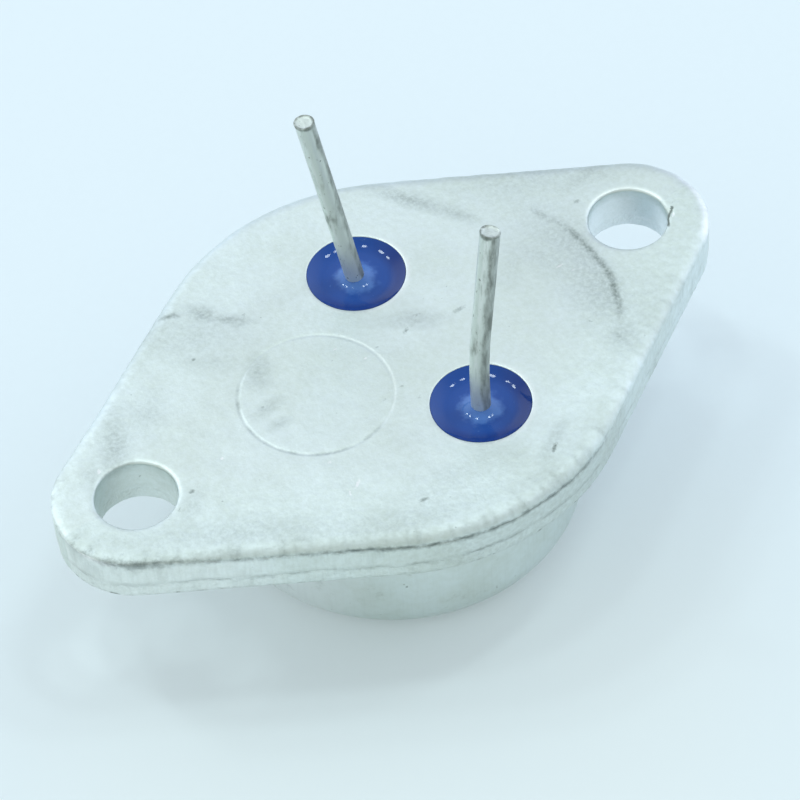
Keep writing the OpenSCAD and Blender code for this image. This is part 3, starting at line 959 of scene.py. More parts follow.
def paint_lead_shade_and_wear(mesh, sizes, shaded_width, highlight_strength):
    """Paints a lead: painted shade on one side with tarnished blotches, a painted highlight line along its
    other side, and the dark burr of its tip.
    """
    shade_and_wear = mesh.attributes.new("shade_and_wear", "FLOAT", "POINT").data
    highlighted = mesh.attributes.new("highlighted", "FLOAT", "POINT").data
    top = max(vert.co.z for vert in mesh.vertices) / MM
    end = [vert.co / MM for vert in mesh.vertices if vert.co.z / MM > top - TIP_LENGTH]
    middle = sum(end, Vector()) / len(end)
    for i, (vert, normal) in enumerate(zip(mesh.vertices, mesh.vertex_normals)):
        x, y, z = vert.co / MM
        angle = math.degrees(math.atan2(normal.vector.y, normal.vector.x))
        from_side = abs(wrapped(angle - SHADED_SIDE)) + 16 * wobble(z * 0.8, x)
        from_line = abs(wrapped(angle - HIGHLIGHT_SIDE))
        # Painted shade on one side of the lead
        wear_and_shade_amount = 0.9 * smooth_step(shaded_width + 20, shaded_width - 8, from_side)
        blotch = smooth_step(1.3, 0.2, abs(z - 4.7)) * (0.35 + 0.9 * wobble(x * 3, y * 3, z * 2))
        wear_and_shade_amount = max(wear_and_shade_amount, blotch)
        # Painted highlight line along the other side
        line = smooth_step(17, 5, from_line) * smooth_step(0.2, 3.5, z) * (0.9 + 0.4 * wobble(z * 1.1, 3.0))
        if z > top - 0.3:
            out = math.hypot(x - middle.x, y - middle.y)
            burr = smooth_step(sizes.radius * 0.66, sizes.radius * 0.9, out)
            burr *= smooth_step(top - 0.3, top - 0.14, z)
            wear_and_shade_amount = max(0.1 if normal.vector.z > 0.5 else wear_and_shade_amount, burr * (1.0 + 0.7 * wobble(x * 4, y * 4)))
            line = 0.0
        shade_and_wear[i].value = max(0.0, wear_and_shade_amount)
        highlighted[i].value = max(0.0, line * highlight_strength)


def build_lead(name, replaced, side, bent, sizes, tree, tilt, painted_light, material):
    """A bent lead of drawn wire with a flattened head and a sheared tip."""
    head_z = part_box(replaced)[0][2] / MM
    points, girths = lead_path(sizes, side, *bent, head_z)
    values = {"Radius": sizes.radius * MM, "Sides": 56, "Material": material}
    mesh = grow(tree, path_mesh(name, points, girths), values)
    shear_tip(mesh, sizes, tilt, bent[1])
    paint_lead_shade_and_wear(mesh, sizes, *painted_light)
    mesh.name = name
    return finish_piece(name, mesh, material, [replaced], 45.0)


# ---------------------------------------------------------------- shapes: cap


def arc_points(cx, cz, radius, start, end, steps):
    """Points on an arc in the XZ plane, from one angle to another in degrees."""
    angles = [math.radians(start + (end - start) * k / steps) for k in range(steps + 1)]
    return [(cx + radius * math.cos(a), 0.0, cz + radius * math.sin(a)) for a in angles]


def cap_profile(sizes, top):
    """Outline of the cap's sheet from the crown's centre round the brim and back inside to the centre."""
    crown = top - sizes.height
    r, corner, wall = sizes.radius, sizes.corner, sizes.wall
    under = top - sizes.brim_thickness
    inner = r - wall
    points = [(x, 0.0, crown) for x in (0.0, 1.0, 2.0, 3.0, 4.0, 5.0, 6.0, 7.0, r - corner - 0.3)]
    points += arc_points(r - corner, crown + corner, corner, -90, 0, 14)
    points += [(r, 0.0, z) for z in (crown + corner + 0.6, crown + corner + 1.8, under - 1.4)]
    points += arc_points(r + 0.42, under - 0.42, 0.42, 180, 90, 7)
    points += [(r + 0.8, 0.0, under)]
    points += arc_points(sizes.brim_radius - 0.2, under + 0.2, 0.2, -90, 0, 5)
    points += arc_points(sizes.brim_radius - 0.08, top - 0.09, 0.08, 0, 90, 3)
    points += [(r + 0.6, 0.0, top - 0.01), (inner + 0.1, 0.0, top - 0.01)]
    points += [(inner, 0.0, z) for z in (top - 0.12, top - 2.0, crown + corner + 0.3)]
    points += arc_points(r - corner, crown + corner, corner - wall, 0, -90, 8)
    points += [(x, 0.0, crown + wall) for x in (6.5, 4.0, 2.0, 0.0)]
    return points


def build_cap(sizes, plate, material):
    """The drawn steel cap with its welded brim."""
    tree = turned_part_tree()
    profile = path_mesh("cap profile", cap_profile(sizes, -plate.thickness))
    mesh = grow(tree, profile, {"Steps round": 192, "Hub": MM, "Material": material})
    bm = bmesh.new()
    bm.from_mesh(mesh)
    crown = -(plate.thickness + sizes.height)
    for vert in bm.verts:
        x, y, z = (c / MM for c in vert.co)
        r = math.hypot(x, y)
        if r > sizes.radius - 0.05 and z < -plate.thickness - 0.2:
            brim = smooth_step(sizes.radius + 0.9, sizes.brim_radius - 0.1, r)
            uneven = 0.018 * wobble(x * 0.25, y * 0.25, z * 0.1) + 0.05 * brim * wobble(x * 0.5, y * 0.5, 4.0)
            vert.co.x *= 1 + uneven / r
            vert.co.y *= 1 + uneven / r
        if z < crown + 0.02 and r > 0.5:
            vert.co.z += 0.02 * smooth_step(7.6, 3.0, r) * (0.6 + 0.4 * wobble(x * 0.3, y * 0.3)) * MM
    bmesh.ops.recalc_face_normals(bm, faces=bm.faces)
    bm.to_mesh(mesh)
    bm.free()
    mesh.name = "cap_shell"
    return finish_piece("cap_shell", mesh, material, ["cap"], 40.0)


# ---------------------------------------------------------------- finishes


def new_material(name, **constants):
    """A material with a Principled shader whose constant values sit on its own sockets."""
    material = bpy.data.materials.new(name)
    material.use_nodes = True
    tree = material.node_tree
    tree.nodes.clear()
    sockets = {key.replace("_", " "): value for key, value in constants.items()}
    shader = node(tree, "ShaderNodeBsdfPrincipled", sockets)
    node(tree, "ShaderNodeOutputMaterial", {"Surface": shader.outputs[0]})
    place = node(tree, "ShaderNodeTexCoord").outputs["Object"]
    return material, tree, shader, place


def grain_of(tree, place, millimetres, detail=2.0, squash=(1.0, 1.0, 1.0), roughness=0.5):
    """Noise whose features are about the given size, squashed or stretched along each axis."""
    scale = tuple(1.0 / (millimetres * MM) * s for s in squash)
    scaled = vector_math(tree, "MULTIPLY", place, scale)
    return node(tree, "ShaderNodeTexNoise",
                {"Vector": scaled, "Scale": 1.0, "Detail": detail, "Roughness": roughness}).outputs[0]


def window(tree, value, low, high, low_out=0.0, high_out=1.0):
    """Maps low..high softly to two output values."""
    return node(tree, "ShaderNodeMapRange", {0: value, 1: low, 2: high, 3: low_out, 4: high_out},
                interpolation_type="SMOOTHSTEP").outputs[0]


def weighted(tree, value, weight, base=0.0):
    """A value times a weight, added to a base."""
    return node(tree, "ShaderNodeMath", {0: value, 1: weight, 2: base}, operation="MULTIPLY_ADD").outputs[0]


def tint(tree, factor, first, second):
    """Blends two colours."""
    return node(tree, "ShaderNodeMix", {0: factor, 6: first, 7: second}, data_type="RGBA").outputs[2]


def on_vertices(tree, attribute):
    """A value painted on the vertices."""
    return node(tree, "ShaderNodeAttribute", attribute_name=attribute).outputs[2]


def painted(tree, attribute, ragged, low, high, strength):
    """A mask from marks painted on the vertices, with ragged borders."""
    share = on_vertices(tree, attribute)
    return window(tree, combine(tree, "ADD", share, ragged), low, high, 0.0, strength)


def set_relief(tree, shader, relief, millimetres, strength=1.0):
    """Gives the surface a bump of a given depth."""
    bump = node(tree, "ShaderNodeBump",
                {"Strength": strength, "Distance": millimetres * MM, "Height": relief})
    tree.links.new(bump.outputs[0], shader.inputs["Normal"])


def satin_nickel(finish):
    """Nickel plated over punched steel: a soft even sheen with grey marks and soiling, painted highlights on
    edges, rims and dents, and painted shade in the crease of the cut edge and on parts of the face and wall.
    """
    material, tree, shader, place = new_material("satin nickel plating", Metallic=1.0)
    height = node(tree, "ShaderNodeSeparateXYZ", {0: place}).outputs[2]

    # Uneven plating: broad clouds a few millimetres across over a fine mottle
    clouds = window(tree, grain_of(tree, place, 5.0, 3.0), 0.35, 0.65)
    mottle = window(tree, grain_of(tree, place, 0.35, 4.0, roughness=0.6), 0.3, 0.7)
    uneven = weighted(tree, clouds, 0.5)
    uneven = weighted(tree, mottle, 0.45, uneven)
    colour_now = tint(tree, uneven, linear(finish.nickel), linear(finish.nickel_dull))

    # Painted highlights on rims and edges and painted glints in dents are paler; smudges, some of them
    # painted shade, are soft and specks ragged
    ragged = grain_of(tree, place, 0.12, 2.0)
    ragged_third = combine(tree, "MULTIPLY", ragged, 0.35)
    bright = painted(tree, "highlighted", ragged_third, 0.2, 1.1, 0.9)
    dent_glints = painted(tree, "dent_glint", ragged_third, 0.48, 0.72, 1.0)
    bright = combine(tree, "MAXIMUM", bright, dent_glints)
    colour_now = tint(tree, bright, colour_now, linear(finish.highlight_nickel))
    broken = grain_of(tree, place, 0.24, 3.0, roughness=0.65)
    dirt_and_shade_mask = on_vertices(tree, "dirt_and_shade_mask")
    smudges_and_shade = combine(tree, "MULTIPLY", dirt_and_shade_mask, window(tree, broken, 0.35, 0.62, 0.6, 1.1))
    specks = painted(tree, "pitted", ragged_third, 0.4, 0.85, 0.75)
    pits = window(tree, grain_of(tree, place, 0.3, 1.0), 0.76, 0.84, 0.0, 0.4)
    dirt_and_shade = combine(tree, "MAXIMUM", combine(tree, "MAXIMUM", smudges_and_shade, specks), pits)

    # Cut edge: faint drag lines down the smooth band of the wall, a few stains, and painted shade with some
    # dirt in the crease
    crease = on_vertices(tree, "below_crease")
    under = window(tree, crease, 0.05, 0.12)
    drag = window(tree, grain_of(tree, place, 0.16, 3.0, (1.0, 1.0, 0.16)), 0.35, 0.7)
    stain = window(tree, grain_of(tree, place, 1.1, 4.0, (1.0, 1.0, 0.5)), 0.5, 0.8)
    torn = window(tree, height, -1.75 * MM, -2.0 * MM)
    edge_dirt = weighted(tree, drag, 0.07)
    edge_dirt = weighted(tree, stain, 0.2, edge_dirt)
    dirt_and_shade = combine(tree, "MAXIMUM", dirt_and_shade, combine(tree, "MULTIPLY", edge_dirt, under))
    # Dirt and painted shade both take the grime colour
    colour_now = tint(tree, dirt_and_shade, colour_now, linear(finish.grime_and_shade))
    seam = painted(tree, "crease_shaded", combine(tree, "MULTIPLY", broken, 1.1), 0.62, 1.75, 0.75)
    colour_now = tint(tree, seam, colour_now, linear(finish.seam))
    tree.links.new(colour_now, shader.inputs["Base Color"])

    dull = weighted(tree, uneven, 0.08, 0.4)
    dull = weighted(tree, dirt_and_shade, 0.2, dull)
    dull = weighted(tree, bright, -0.14, dull)
    # The pebbled border is duller too
    pebbled = on_vertices(tree, "pebbled")
    dull = weighted(tree, pebbled, 0.17, dull)
    tree.links.new(dull, shader.inputs["Roughness"])

    grain = grain_of(tree, place, 0.2, 4.0, roughness=0.6)
    waves = grain_of(tree, place, 1.3, 3.0)
    relief = weighted(tree, waves, 5.0, grain)
    pebbles = combine(tree, "MULTIPLY", pebbled, grain_of(tree, place, 0.5, 3.0))
    relief = weighted(tree, pebbles, 6.0, relief)
    lines = combine(tree, "MULTIPLY", drag, under)
    relief = weighted(tree, lines, 0.6, relief)
    rough = combine(tree, "MULTIPLY", grain_of(tree, place, 0.22, 4.0), torn)
    relief = weighted(tree, rough, 6.0, relief)
    set_relief(tree, shader, relief, 0.009)
    return material


def drawn_nickel(finish):
    """Nickel plated over deep-drawn steel: faint draw lines round the wall, a soft pebble all over, painted
    light on one side and painted shade below the brim.
    """
    material, tree, shader, place = new_material("nickel plated drawn steel", Metallic=1.0)
    flat = node(tree, "ShaderNodeSeparateXYZ", {0: place}).outputs
    angle = combine(tree, "ARCTAN2", flat[1], flat[0])
    sine = node(tree, "ShaderNodeMath", {0: angle}, operation="SINE").outputs[0]
    cosine = node(tree, "ShaderNodeMath", {0: angle}, operation="COSINE").outputs[0]
    round_place = node(tree, "ShaderNodeCombineXYZ", {0: cosine, 1: sine, 2: flat[2]}).outputs[0]
    stretched = vector_math(tree, "MULTIPLY", round_place, (60.0, 60.0, 350.0))
    lines = node(tree, "ShaderNodeTexNoise", {"Vector": stretched, "Scale": 1.0, "Detail": 4.0}).outputs[0]
    wall = window(tree, flat[2], -9.6 * MM, -8.8 * MM)
    clouds = window(tree, grain_of(tree, place, 3.0, 4.0), 0.32, 0.72)
    mottle = window(tree, grain_of(tree, place, 0.4, 3.0), 0.3, 0.75)
    uneven = weighted(tree, clouds, 0.6)
    uneven = weighted(tree, mottle, 0.3, uneven)
    colour_now = tint(tree, uneven, linear(finish.nickel), linear(finish.nickel_dull))
    # Painted light: the side of the cap towards -X is painted a little paler
    paler = window(tree, angle, math.radians(-125.0), math.radians(-160.0), 0.0, 0.85)
    colour_now = tint(tree, paler, colour_now, linear(finish.highlight_nickel))
    drawn = combine(tree, "MULTIPLY", window(tree, lines, 0.45, 0.75), wall)
    scuffs = window(tree, grain_of(tree, place, 1.6, 5.0, roughness=0.7), 0.6, 0.78, 0.0, 0.22)
    pits = window(tree, grain_of(tree, place, 0.35, 1.0), 0.74, 0.82, 0.0, 0.5)
    # Painted shade on the wall just below the brim
    shade_under_brim = window(tree, flat[2], -3.9 * MM, -3.45 * MM, 0.0, 0.2)
    dirt_and_shade = combine(tree, "MAXIMUM", combine(tree, "MAXIMUM", scuffs, pits), shade_under_brim)
    dirt_and_shade = combine(tree, "MAXIMUM", dirt_and_shade, combine(tree, "MULTIPLY", drawn, 0.04))
    tree.links.new(tint(tree, dirt_and_shade, colour_now, linear(finish.grime_and_shade)), shader.inputs["Base Color"])
    dull = weighted(tree, uneven, 0.08, 0.38)
    dull = weighted(tree, dirt_and_shade, 0.2, dull)
    tree.links.new(dull, shader.inputs["Roughness"])
    relief = weighted(tree, grain_of(tree, place, 1.2, 3.0), 5.0, grain_of(tree, place, 0.11, 3.0))
    relief = weighted(tree, drawn, 0.15, relief)
    set_relief(tree, shader, relief, 0.006)
    return material


def cobalt_glass(finish, leads):
    """Cobalt glass fused round a lead: glossy deep blue, milky with fine bubbles where it wets the lead."""
    material, tree, shader, place = new_material("cobalt sealing glass", Roughness=0.05, IOR=1.5,
                                                 Specular_IOR_Level=0.29)
    flat = node(tree, "ShaderNodeSeparateXYZ", {0: place}).outputs
    across = node(tree, "ShaderNodeMath", {0: flat[1]}, operation="ABSOLUTE").outputs[0]
    x = combine(tree, "SUBTRACT", flat[0], leads.offset * MM)
    y = combine(tree, "SUBTRACT", across, leads.spacing / 2 * MM)
    from_lead = node(tree, "ShaderNodeCombineXYZ", {0: x, 1: y}).outputs[0]
    out = node(tree, "ShaderNodeVectorMath", {0: from_lead}, operation="LENGTH").outputs[1]
    swirl = weighted(tree, grain_of(tree, place, 0.65, 3.0), 1.1 * MM, out)
    milk = window(tree, swirl, 1.85 * MM, 1.3 * MM, 0.0, 0.6)
    shaded = on_vertices(tree, "shaded")
    bubbles = window(tree, grain_of(tree, place, 0.16, 2.0), 0.68, 0.8, 0.0, 0.35)
    # Painted shade: the rims turn to deep glass where the shaded value is painted
    colour_now = tint(tree, shaded, linear(finish.glass), linear(finish.glass_shade))
    bubbles = combine(tree, "MULTIPLY", bubbles, window(tree, out, 2.2 * MM, 1.2 * MM))
    milky = combine(tree, "MAXIMUM", milk, bubbles)
    tree.links.new(tint(tree, milky, colour_now, linear(finish.glass_milk)), shader.inputs["Base Color"])
    set_relief(tree, shader, grain_of(tree, place, 0.8, 2.0), 0.013)
    return material


def dull_tin(finish):
    """Hot-tinned wire: pale grey under a dull skin, streaked, darker on one side with painted shade and
    tarnished blotches, with a painted highlight line along the other side and small pits.
    """
    material, tree, shader, place = new_material("dull tin plating", Metallic=0.5)
    streaks = window(tree, grain_of(tree, place, 0.2, 4.0, (1.0, 1.0, 0.2), 0.6), 0.4, 0.72)
    patches = window(tree, grain_of(tree, place, 0.9, 4.0, (1.0, 1.0, 0.5), 0.65), 0.42, 0.7)
    pits = window(tree, grain_of(tree, place, 0.17, 2.0, (1.0, 1.0, 0.6)), 0.66, 0.76, 0.0, 0.8)
    # Painted shade on one side of the lead, with tarnished blotches and the burr of the tip
    side = on_vertices(tree, "shade_and_wear")
    wear_and_shade_amount = weighted(tree, streaks, 0.45, side)
    wear_and_shade_amount = weighted(tree, patches, 0.45, wear_and_shade_amount)
    wear_and_shade_amount = combine(tree, "MAXIMUM", window(tree, wear_and_shade_amount, 0.2, 1.7, 0.0, 0.95), pits)
    colour_now = tint(tree, wear_and_shade_amount, linear(finish.tin), linear(finish.tin_dark))
    # Painted highlight line along the other side of the lead
    lead_highlight = on_vertices(tree, "highlighted")
    line = combine(tree, "MULTIPLY", lead_highlight, window(tree, streaks, 0.9, 0.2))
    tree.links.new(tint(tree, line, colour_now, linear(finish.highlight_nickel)), shader.inputs["Base Color"])
    dull = weighted(tree, wear_and_shade_amount, 0.15, 0.38)
    tree.links.new(dull, shader.inputs["Roughness"])
    relief = weighted(tree, streaks, 0.5, grain_of(tree, place, 0.12, 3.0, (1.0, 1.0, 0.5)))
    set_relief(tree, shader, relief, 0.012)
    return material


def inner_metal(name, clean, tarnished, roughness, grain_mm, patch_mm):
    """A metal inside the can: its clean colour with tarnish in patches and a fine grain."""
    material, tree, shader, place = new_material(name, Metallic=1.0)
    patches = window(tree, grain_of(tree, place, patch_mm, 4.0), 0.35, 0.7)
    grain = grain_of(tree, place, grain_mm, 3.0)
    tree.links.new(tint(tree, patches, linear(clean), linear(tarnished)), shader.inputs["Base Color"])
    dull = weighted(tree, grain, 0.15, roughness)
    tree.links.new(dull, shader.inputs["Roughness"])
    set_relief(tree, shader, grain, 0.01, 0.8)
    return material


def patterned_silicon():
    """A diffused silicon chip: dark blue-grey polish crossed by the pale fingers of its metal layer."""
    material, tree, shader, place = new_material("diffused silicon with metal fingers")
    flat = node(tree, "ShaderNodeSeparateXYZ", {0: place}).outputs
    # The pattern runs out and back over 0.4 mm, so the fingers repeat every 0.8 mm across the chip
    across = combine(tree, "PINGPONG", flat[0], 0.4 * MM)
    fingers = window(tree, across, 0.18 * MM, 0.2 * MM)
    grain = grain_of(tree, place, 0.5, 2.0)
    base = tint(tree, grain, linear("2A2E3C"), linear("444B5E"))
    tree.links.new(tint(tree, fingers, base, linear("C9CACC")), shader.inputs["Base Color"])
    tree.links.new(fingers, shader.inputs["Metallic"])
    tree.links.new(window(tree, fingers, 0.0, 1.0, 0.12, 0.35), shader.inputs["Roughness"])
    return material


INNER_FINISHES = [
    ("heat_spreader", "copper", ("rolled copper", "C98A63", "9A5F40", 0.3, 0.15, 1.6)),
    ("braze_disc", "braze", ("silver braze", "D8D2BE", "A89F86", 0.4, 0.2, 1.0)),
    ("die_solder", "solder", ("soft lead solder", "A9ABAC", "7F8283", 0.38, 0.2, 0.8)),
    ("emitter_wire_1", "bond_wire", ("bright aluminium wire", "DEDFE0", "BFC1C3", 0.25, 0.08, 0.5)),
]


# ---------------------------------------------------------------- stage


# Soft lights in the studio round the part: height, direction and half-width in degrees, and strength
WINDOWS = [
    (55.0, 62.0, 42.0, 0.21),
    (14.0, -8.0, 50.0, 0.87),
    (18.0, 98.0, 34.0, 0.75),
    (24.0, 180.0, 40.0, 0.34),
    (40.0, 115.0, 45.0, 0.28),
    (22.0, -118.0, 42.0, 0.16),
]
# Light of the plain room at the horizon and overhead
ROOM = (0.43, 0.68)
# Shares of the paper's look that come from its own colour, to the camera and in reflections
PAPER_GLOW = 0.18
PAPER_GLOW_REFLECTED = 0.04
# Small ceiling lamps: X and Y as shares of their height, then that height and their size in metres, and watts
CEILING_LAMPS = [(0.5, -0.05), (0.28, -0.07), (-0.12, 0.13), (-0.25, 0.45), (-0.25, 0.65)]
LAMP_HEIGHT = 0.8
LAMP_SIZE = 0.085
LAMP_WATTS = 0.36
# Strength of the whole room
ROOM_STRENGTH = 0.94
# Direction of the backdrop beyond the part, as seen by the camera, in degrees from +X
BEYOND = 35.0
# Point that the camera looks at, in millimetres
CAMERA_AIM = (-0.602, -1.764, -1.548)


def direction(rise, turn):
    """Unit vector towards a height above the horizon and a direction from +X."""
    rise, turn = math.radians(rise), math.radians(turn)
    return Vector((math.cos(rise) * math.cos(turn), math.cos(rise) * math.sin(turn), math.sin(rise)))


def studio_world(floor_colour):
    """An evenly lit pale room with wide soft windows, seen as the plain backdrop colour."""
    world = bpy.data.worlds.new("studio")
    bpy.context.scene.world = world
    world.use_nodes = True
    tree = world.node_tree
    tree.nodes.clear()
    ray = node(tree, "ShaderNodeTexCoord").outputs["Generated"]
    height = node(tree, "ShaderNodeSeparateXYZ", {0: ray}).outputs[2]
    light = window(tree, height, 0.0, 0.5, ROOM[0], ROOM[1])
    for rise, turn, width, strength in WINDOWS:
        facing = vector_math(tree, "DOT_PRODUCT", ray, direction(rise, turn), 1)
        edge, core = math.cos(math.radians(width)), math.cos(math.radians(width * 0.35))
        light = combine(tree, "ADD", light, window(tree, facing, edge, core, 0.0, strength))
    # The ceiling straight above is dimmer, so that level metal hardly clips
    ceiling = window(tree, height, 0.82, 0.98, 1.0, 0.72)
    light = combine(tree, "MULTIPLY", light, ceiling)
    # The backdrop beyond the part is a little bluer than the room behind the camera
    beyond = vector_math(tree, "DOT_PRODUCT", ray, direction(0.0, BEYOND), 1)
    bluer = window(tree, beyond, -1.0, 1.0, -0.1, 0.2)
    low = window(tree, height, 1.0, 0.1)
    blue = weighted(tree, bluer, low, 1.0)
    red = window(tree, height, 0.1, 0.8, 0.9, 0.93)
    hue = node(tree, "ShaderNodeCombineXYZ", {0: red, 1: 1.0, 2: blue}).outputs[0]
    tinted = node(tree, "ShaderNodeVectorMath", {0: hue, "Scale": light}, operation="SCALE").outputs[0]
    room = node(tree, "ShaderNodeBackground", {"Color": tinted, "Strength": ROOM_STRENGTH}).outputs[0]
    backdrop = node(tree, "ShaderNodeBackground", {"Color": linear(floor_colour), "Strength": 1.0}).outputs[0]
    seen = node(tree, "ShaderNodeLightPath").outputs["Is Camera Ray"]
    mixed = node(tree, "ShaderNodeMixShader", {0: seen, 1: room, 2: backdrop}).outputs[0]
    node(tree, "ShaderNodeOutputWorld", {"Surface": mixed})


def matt_paper(finish):
    """Smooth matt paper: even pale blue with a hardly visible tooth, which metal mirrors a little paler."""
    material, tree, shader, place = new_material("matt paper", Roughness=0.9, Specular_IOR_Level=0.1)
    tooth = grain_of(tree, place, 0.5, 3.0)
    base = linear(finish.floor)
    shade = tuple(c * 0.985 for c in base[:3]) + (1.0,)
    paper = tint(tree, tooth, base, shade)
    # Painted shade colour: the paper is a little less blue in a patch by the part, on its side towards -X and
    # -Y, where its shadow falls
    off = vector_math(tree, "DISTANCE", place, Vector((-10.0, -15.0, 0.0)) * MM, 1)
    paper = tint(tree, window(tree, off, 14 * MM, 34 * MM, 1.0, 0.0), paper, linear("E6F0F4"))
    path = node(tree, "ShaderNodeLightPath").outputs
    mirrored = combine(tree, "MAXIMUM", path["Is Glossy Ray"], path["Is Transmission Ray"])
    across = vector_math(tree, "DOT_PRODUCT", place, direction(0.0, BEYOND), 1)
    neutral = tint(tree, window(tree, across, -15 * MM, 25 * MM), linear("EBF1F2"), linear("E9F2FB"))
    seen = tint(tree, mirrored, paper, neutral)
    tree.links.new(seen, shader.inputs["Base Color"])
    # The paper's own colour is added for the camera and for reflections, and the shadow stays
    share = combine(tree, "MULTIPLY", path["Is Camera Ray"], PAPER_GLOW)
    glow = node(tree, "ShaderNodeEmission", {"Color": paper, "Strength": 1.0}).outputs[0]
    lit = node(tree, "ShaderNodeMixShader", {0: share, 1: shader.outputs[0], 2: glow}).outputs[0]
    extra = combine(tree, "MULTIPLY", mirrored, PAPER_GLOW_REFLECTED)
    shine = node(tree, "ShaderNodeEmission", {"Color": linear("FFF6EE"), "Strength": extra}).outputs[0]
    mixed = node(tree, "ShaderNodeAddShader", {0: lit, 1: shine}).outputs[0]
    output = next(made for made in tree.nodes if made.type == "OUTPUT_MATERIAL")
    tree.links.new(mixed, output.inputs["Surface"])
    return material


def build_floor(material):
    """The table top that the part lies on."""
    bm = bmesh.new()
    rings = [ring(bm, circle_points(0.0, 0.0, radius, 0.0, 96)) for radius in (2500.0, 600.0, 120.0, 30.0)]
    bridge_all(bm, rings)
    bm.faces.new(rings[-1])
    bmesh.ops.scale(bm, vec=(MM, MM, MM), verts=bm.verts)
    bmesh.ops.translate(bm, vec=(0.0, 0.0, CAN_BOX[0][2] - 0.01 * MM), verts=bm.verts)
    bmesh.ops.recalc_face_normals(bm, faces=bm.faces)
    if sum(f.normal.z for f in bm.faces) < 0:
        bmesh.ops.reverse_faces(bm, faces=bm.faces)
    mesh = bpy.data.meshes.new("table_top")
    bm.to_mesh(mesh)
    bm.free()
    mesh.materials.append(material)
    floor = bpy.data.objects.new("table_top", mesh)
    bpy.context.scene.collection.objects.link(floor)


def ceiling_lamps():
    """The small round lamps whose reflections show as white dots in the glass, each facing the part."""
    for i, (x, y) in enumerate(CEILING_LAMPS):
        data = bpy.data.lights.new(f"ceiling_lamp_{i}", "AREA")
        data.shape = "DISK"
        data.size = LAMP_SIZE
        data.energy = LAMP_WATTS
        data.color = (0.88, 1.0, 1.0)
        lamp = bpy.data.objects.new(f"ceiling_lamp_{i}", data)
        lamp.location = (x * LAMP_HEIGHT, y * LAMP_HEIGHT, LAMP_HEIGHT)
        lamp.rotation_euler = (-lamp.location).to_track_quat("-Z", "Y").to_euler()
        bpy.context.scene.collection.objects.link(lamp)


def photographer_camera(settings):
    """The camera, high on the side towards -X and -Y and turned slightly about its own axis."""
    angles = (settings.camera_turn, settings.camera_rise, settings.camera_roll)
    turn, rise, roll = (math.radians(angle) for angle in angles)
    back = Vector((math.sin(turn) * math.cos(rise), -math.cos(turn) * math.cos(rise), math.sin(rise)))
    level = Vector((math.cos(turn), math.sin(turn), 0.0))
    upright = back.cross(level)
    right = level * math.cos(roll) + upright * math.sin(roll)
    up = upright * math.cos(roll) - level * math.sin(roll)
    aim = Vector(CAMERA_AIM) * MM
    data = bpy.data.cameras.new("camera")
    data.sensor_width = 36.0
    data.lens = settings.lens
    data.clip_start = 0.01
    data.clip_end = 10.0
    camera = bpy.data.objects.new("camera", data)
    turned = Matrix((right, up, back)).transposed().to_4x4()
    camera.matrix_world = Matrix.Translation(aim + back * settings.camera_distance * MM) @ turned
    bpy.context.scene.collection.objects.link(camera)
    bpy.context.scene.camera = camera


# ---------------------------------------------------------------- operators and panel


class TRANSISTOR_OT_plate(bpy.types.Operator):
    """Build the base plate"""

    bl_idname = "transistor.plate"
    bl_label = "Base plate"

    def execute(self, context):
        scene = context.scene
        build_plate(scene.can_plate, scene.can_seals, scene.can_leads, satin_nickel(scene.can_finish))
        return {"FINISHED"}


class TRANSISTOR_OT_seals(bpy.types.Operator):
    """Build the two glass seals"""

    bl_idname = "transistor.seals"
    bl_label = "Glass seals"

    def execute(self, context):
        scene = context.scene
        glass = cobalt_glass(scene.can_finish, scene.can_leads)
        for name, replaced, side in (("emitter_glass", "emitter_seal", 1), ("base_glass", "base_seal", -1)):
            build_seal(name, replaced, side, scene.can_seals, scene.can_leads, scene.can_plate, glass)
        return {"FINISHED"}


class TRANSISTOR_OT_leads(bpy.types.Operator):
    """Build the two bent leads"""

    bl_idname = "transistor.leads"
    bl_label = "Leads"

    def execute(self, context):
        sizes = context.scene.can_leads
        tin = dull_tin(context.scene.can_finish)
        tree = drawn_wire_tree()
        emitter = (sizes.emitter_lean, sizes.emitter_heading, sizes.emitter_bend, sizes.emitter_bend_radius)
        base = (sizes.base_lean, sizes.base_heading, sizes.base_bend, sizes.base_bend_radius)
        build_lead("emitter_pin", "emitter_lead", 1, emitter, sizes, tree, 0.05, (36, 0.3), tin)
        build_lead("base_pin", "base_lead", -1, base, sizes, tree, -0.05, (74, 0.42), tin)
        return {"FINISHED"}


class TRANSISTOR_OT_cap(bpy.types.Operator):
    """Build the drawn cap"""

    bl_idname = "transistor.cap"
    bl_label = "Cap"

    def execute(self, context):
        scene = context.scene
        build_cap(scene.can_cap, scene.can_plate, drawn_nickel(scene.can_finish))
        return {"FINISHED"}


class TRANSISTOR_OT_inside(bpy.types.Operator):
    """Finish the pieces inside the can"""

    bl_idname = "transistor.inside"
    bl_label = "Inside of the can"

    def execute(self, context):
        finishes = {slot: inner_metal(*look) for _, slot, look in INNER_FINISHES}
        finishes["silicon"] = patterned_silicon()
        slots = {
            "heat_spreader": "copper", "braze_disc": "braze", "die_solder": "solder",
            "silicon_die": "silicon", "emitter_wire_1": "bond_wire", "emitter_wire_2": "bond_wire",
            "base_wire": "bond_wire",
        }
        for name, slot in slots.items():
            for material_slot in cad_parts[name].material_slots:
                material_slot.material = finishes[slot]
        return {"FINISHED"}


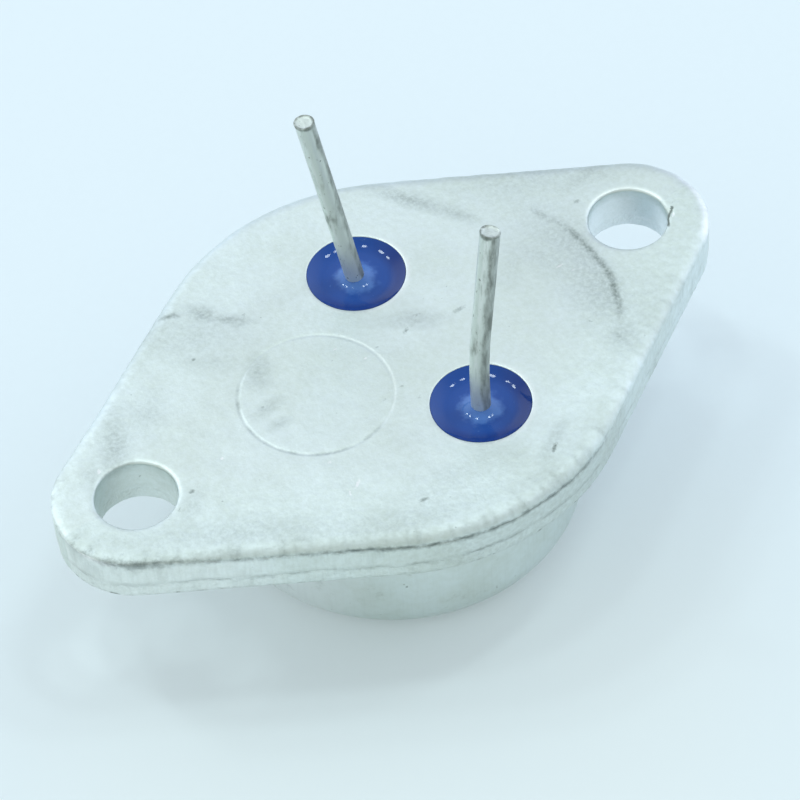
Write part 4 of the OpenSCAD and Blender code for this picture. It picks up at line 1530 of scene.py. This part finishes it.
class TRANSISTOR_OT_stage(bpy.types.Operator):
    """Set up the floor, the light and the camera"""

    bl_idname = "transistor.stage"
    bl_label = "Floor, light and camera"

    def execute(self, context):
        scene = context.scene
        build_floor(matt_paper(scene.can_finish))
        studio_world(scene.can_finish.floor)
        ceiling_lamps()
        photographer_camera(scene.can_stage)
        scene.view_settings.view_transform = "Standard"
        return {"FINISHED"}


STEPS = [TRANSISTOR_OT_plate, TRANSISTOR_OT_seals, TRANSISTOR_OT_leads, TRANSISTOR_OT_cap,
         TRANSISTOR_OT_inside, TRANSISTOR_OT_stage]
GROUPS = {"can_plate": PlateSizes, "can_seals": SealSizes, "can_leads": LeadSizes, "can_cap": CapSizes,
          "can_finish": FinishColours, "can_stage": StageSettings}


class TRANSISTOR_PT_panel(bpy.types.Panel):
    """Sidebar panel with every step and its sizes"""

    bl_idname = "TRANSISTOR_PT_panel"
    bl_label = "Transistor"
    bl_space_type = "VIEW_3D"
    bl_region_type = "UI"
    bl_category = "Transistor"

    def draw(self, context):
        for step in STEPS:
            self.layout.operator(step.bl_idname)
        for name, group in GROUPS.items():
            box = self.layout.box()
            box.label(text=group.__doc__)
            for setting in group.__annotations__:
                box.prop(getattr(context.scene, name), setting)


def register():
    """Registers the settings, the steps and the panel."""
    for group in GROUPS.values():
        bpy.utils.register_class(group)
    for step in STEPS:
        bpy.utils.register_class(step)
    bpy.utils.register_class(TRANSISTOR_PT_panel)
    for name, group in GROUPS.items():
        setattr(bpy.types.Scene, name, bpy.props.PointerProperty(type=group))


def unregister():
    """Takes everything that register added away again."""
    for name in GROUPS:
        delattr(bpy.types.Scene, name)
    bpy.utils.unregister_class(TRANSISTOR_PT_panel)
    for step in reversed(STEPS):
        bpy.utils.unregister_class(step)
    for group in reversed(list(GROUPS.values())):
        bpy.utils.unregister_class(group)


def main():
    """Builds everything in order."""
    register()
    bpy.ops.transistor.plate()
    bpy.ops.transistor.seals()
    bpy.ops.transistor.leads()
    bpy.ops.transistor.cap()
    bpy.ops.transistor.inside()
    bpy.ops.transistor.stage()


if __name__ == "__main__":
    main()
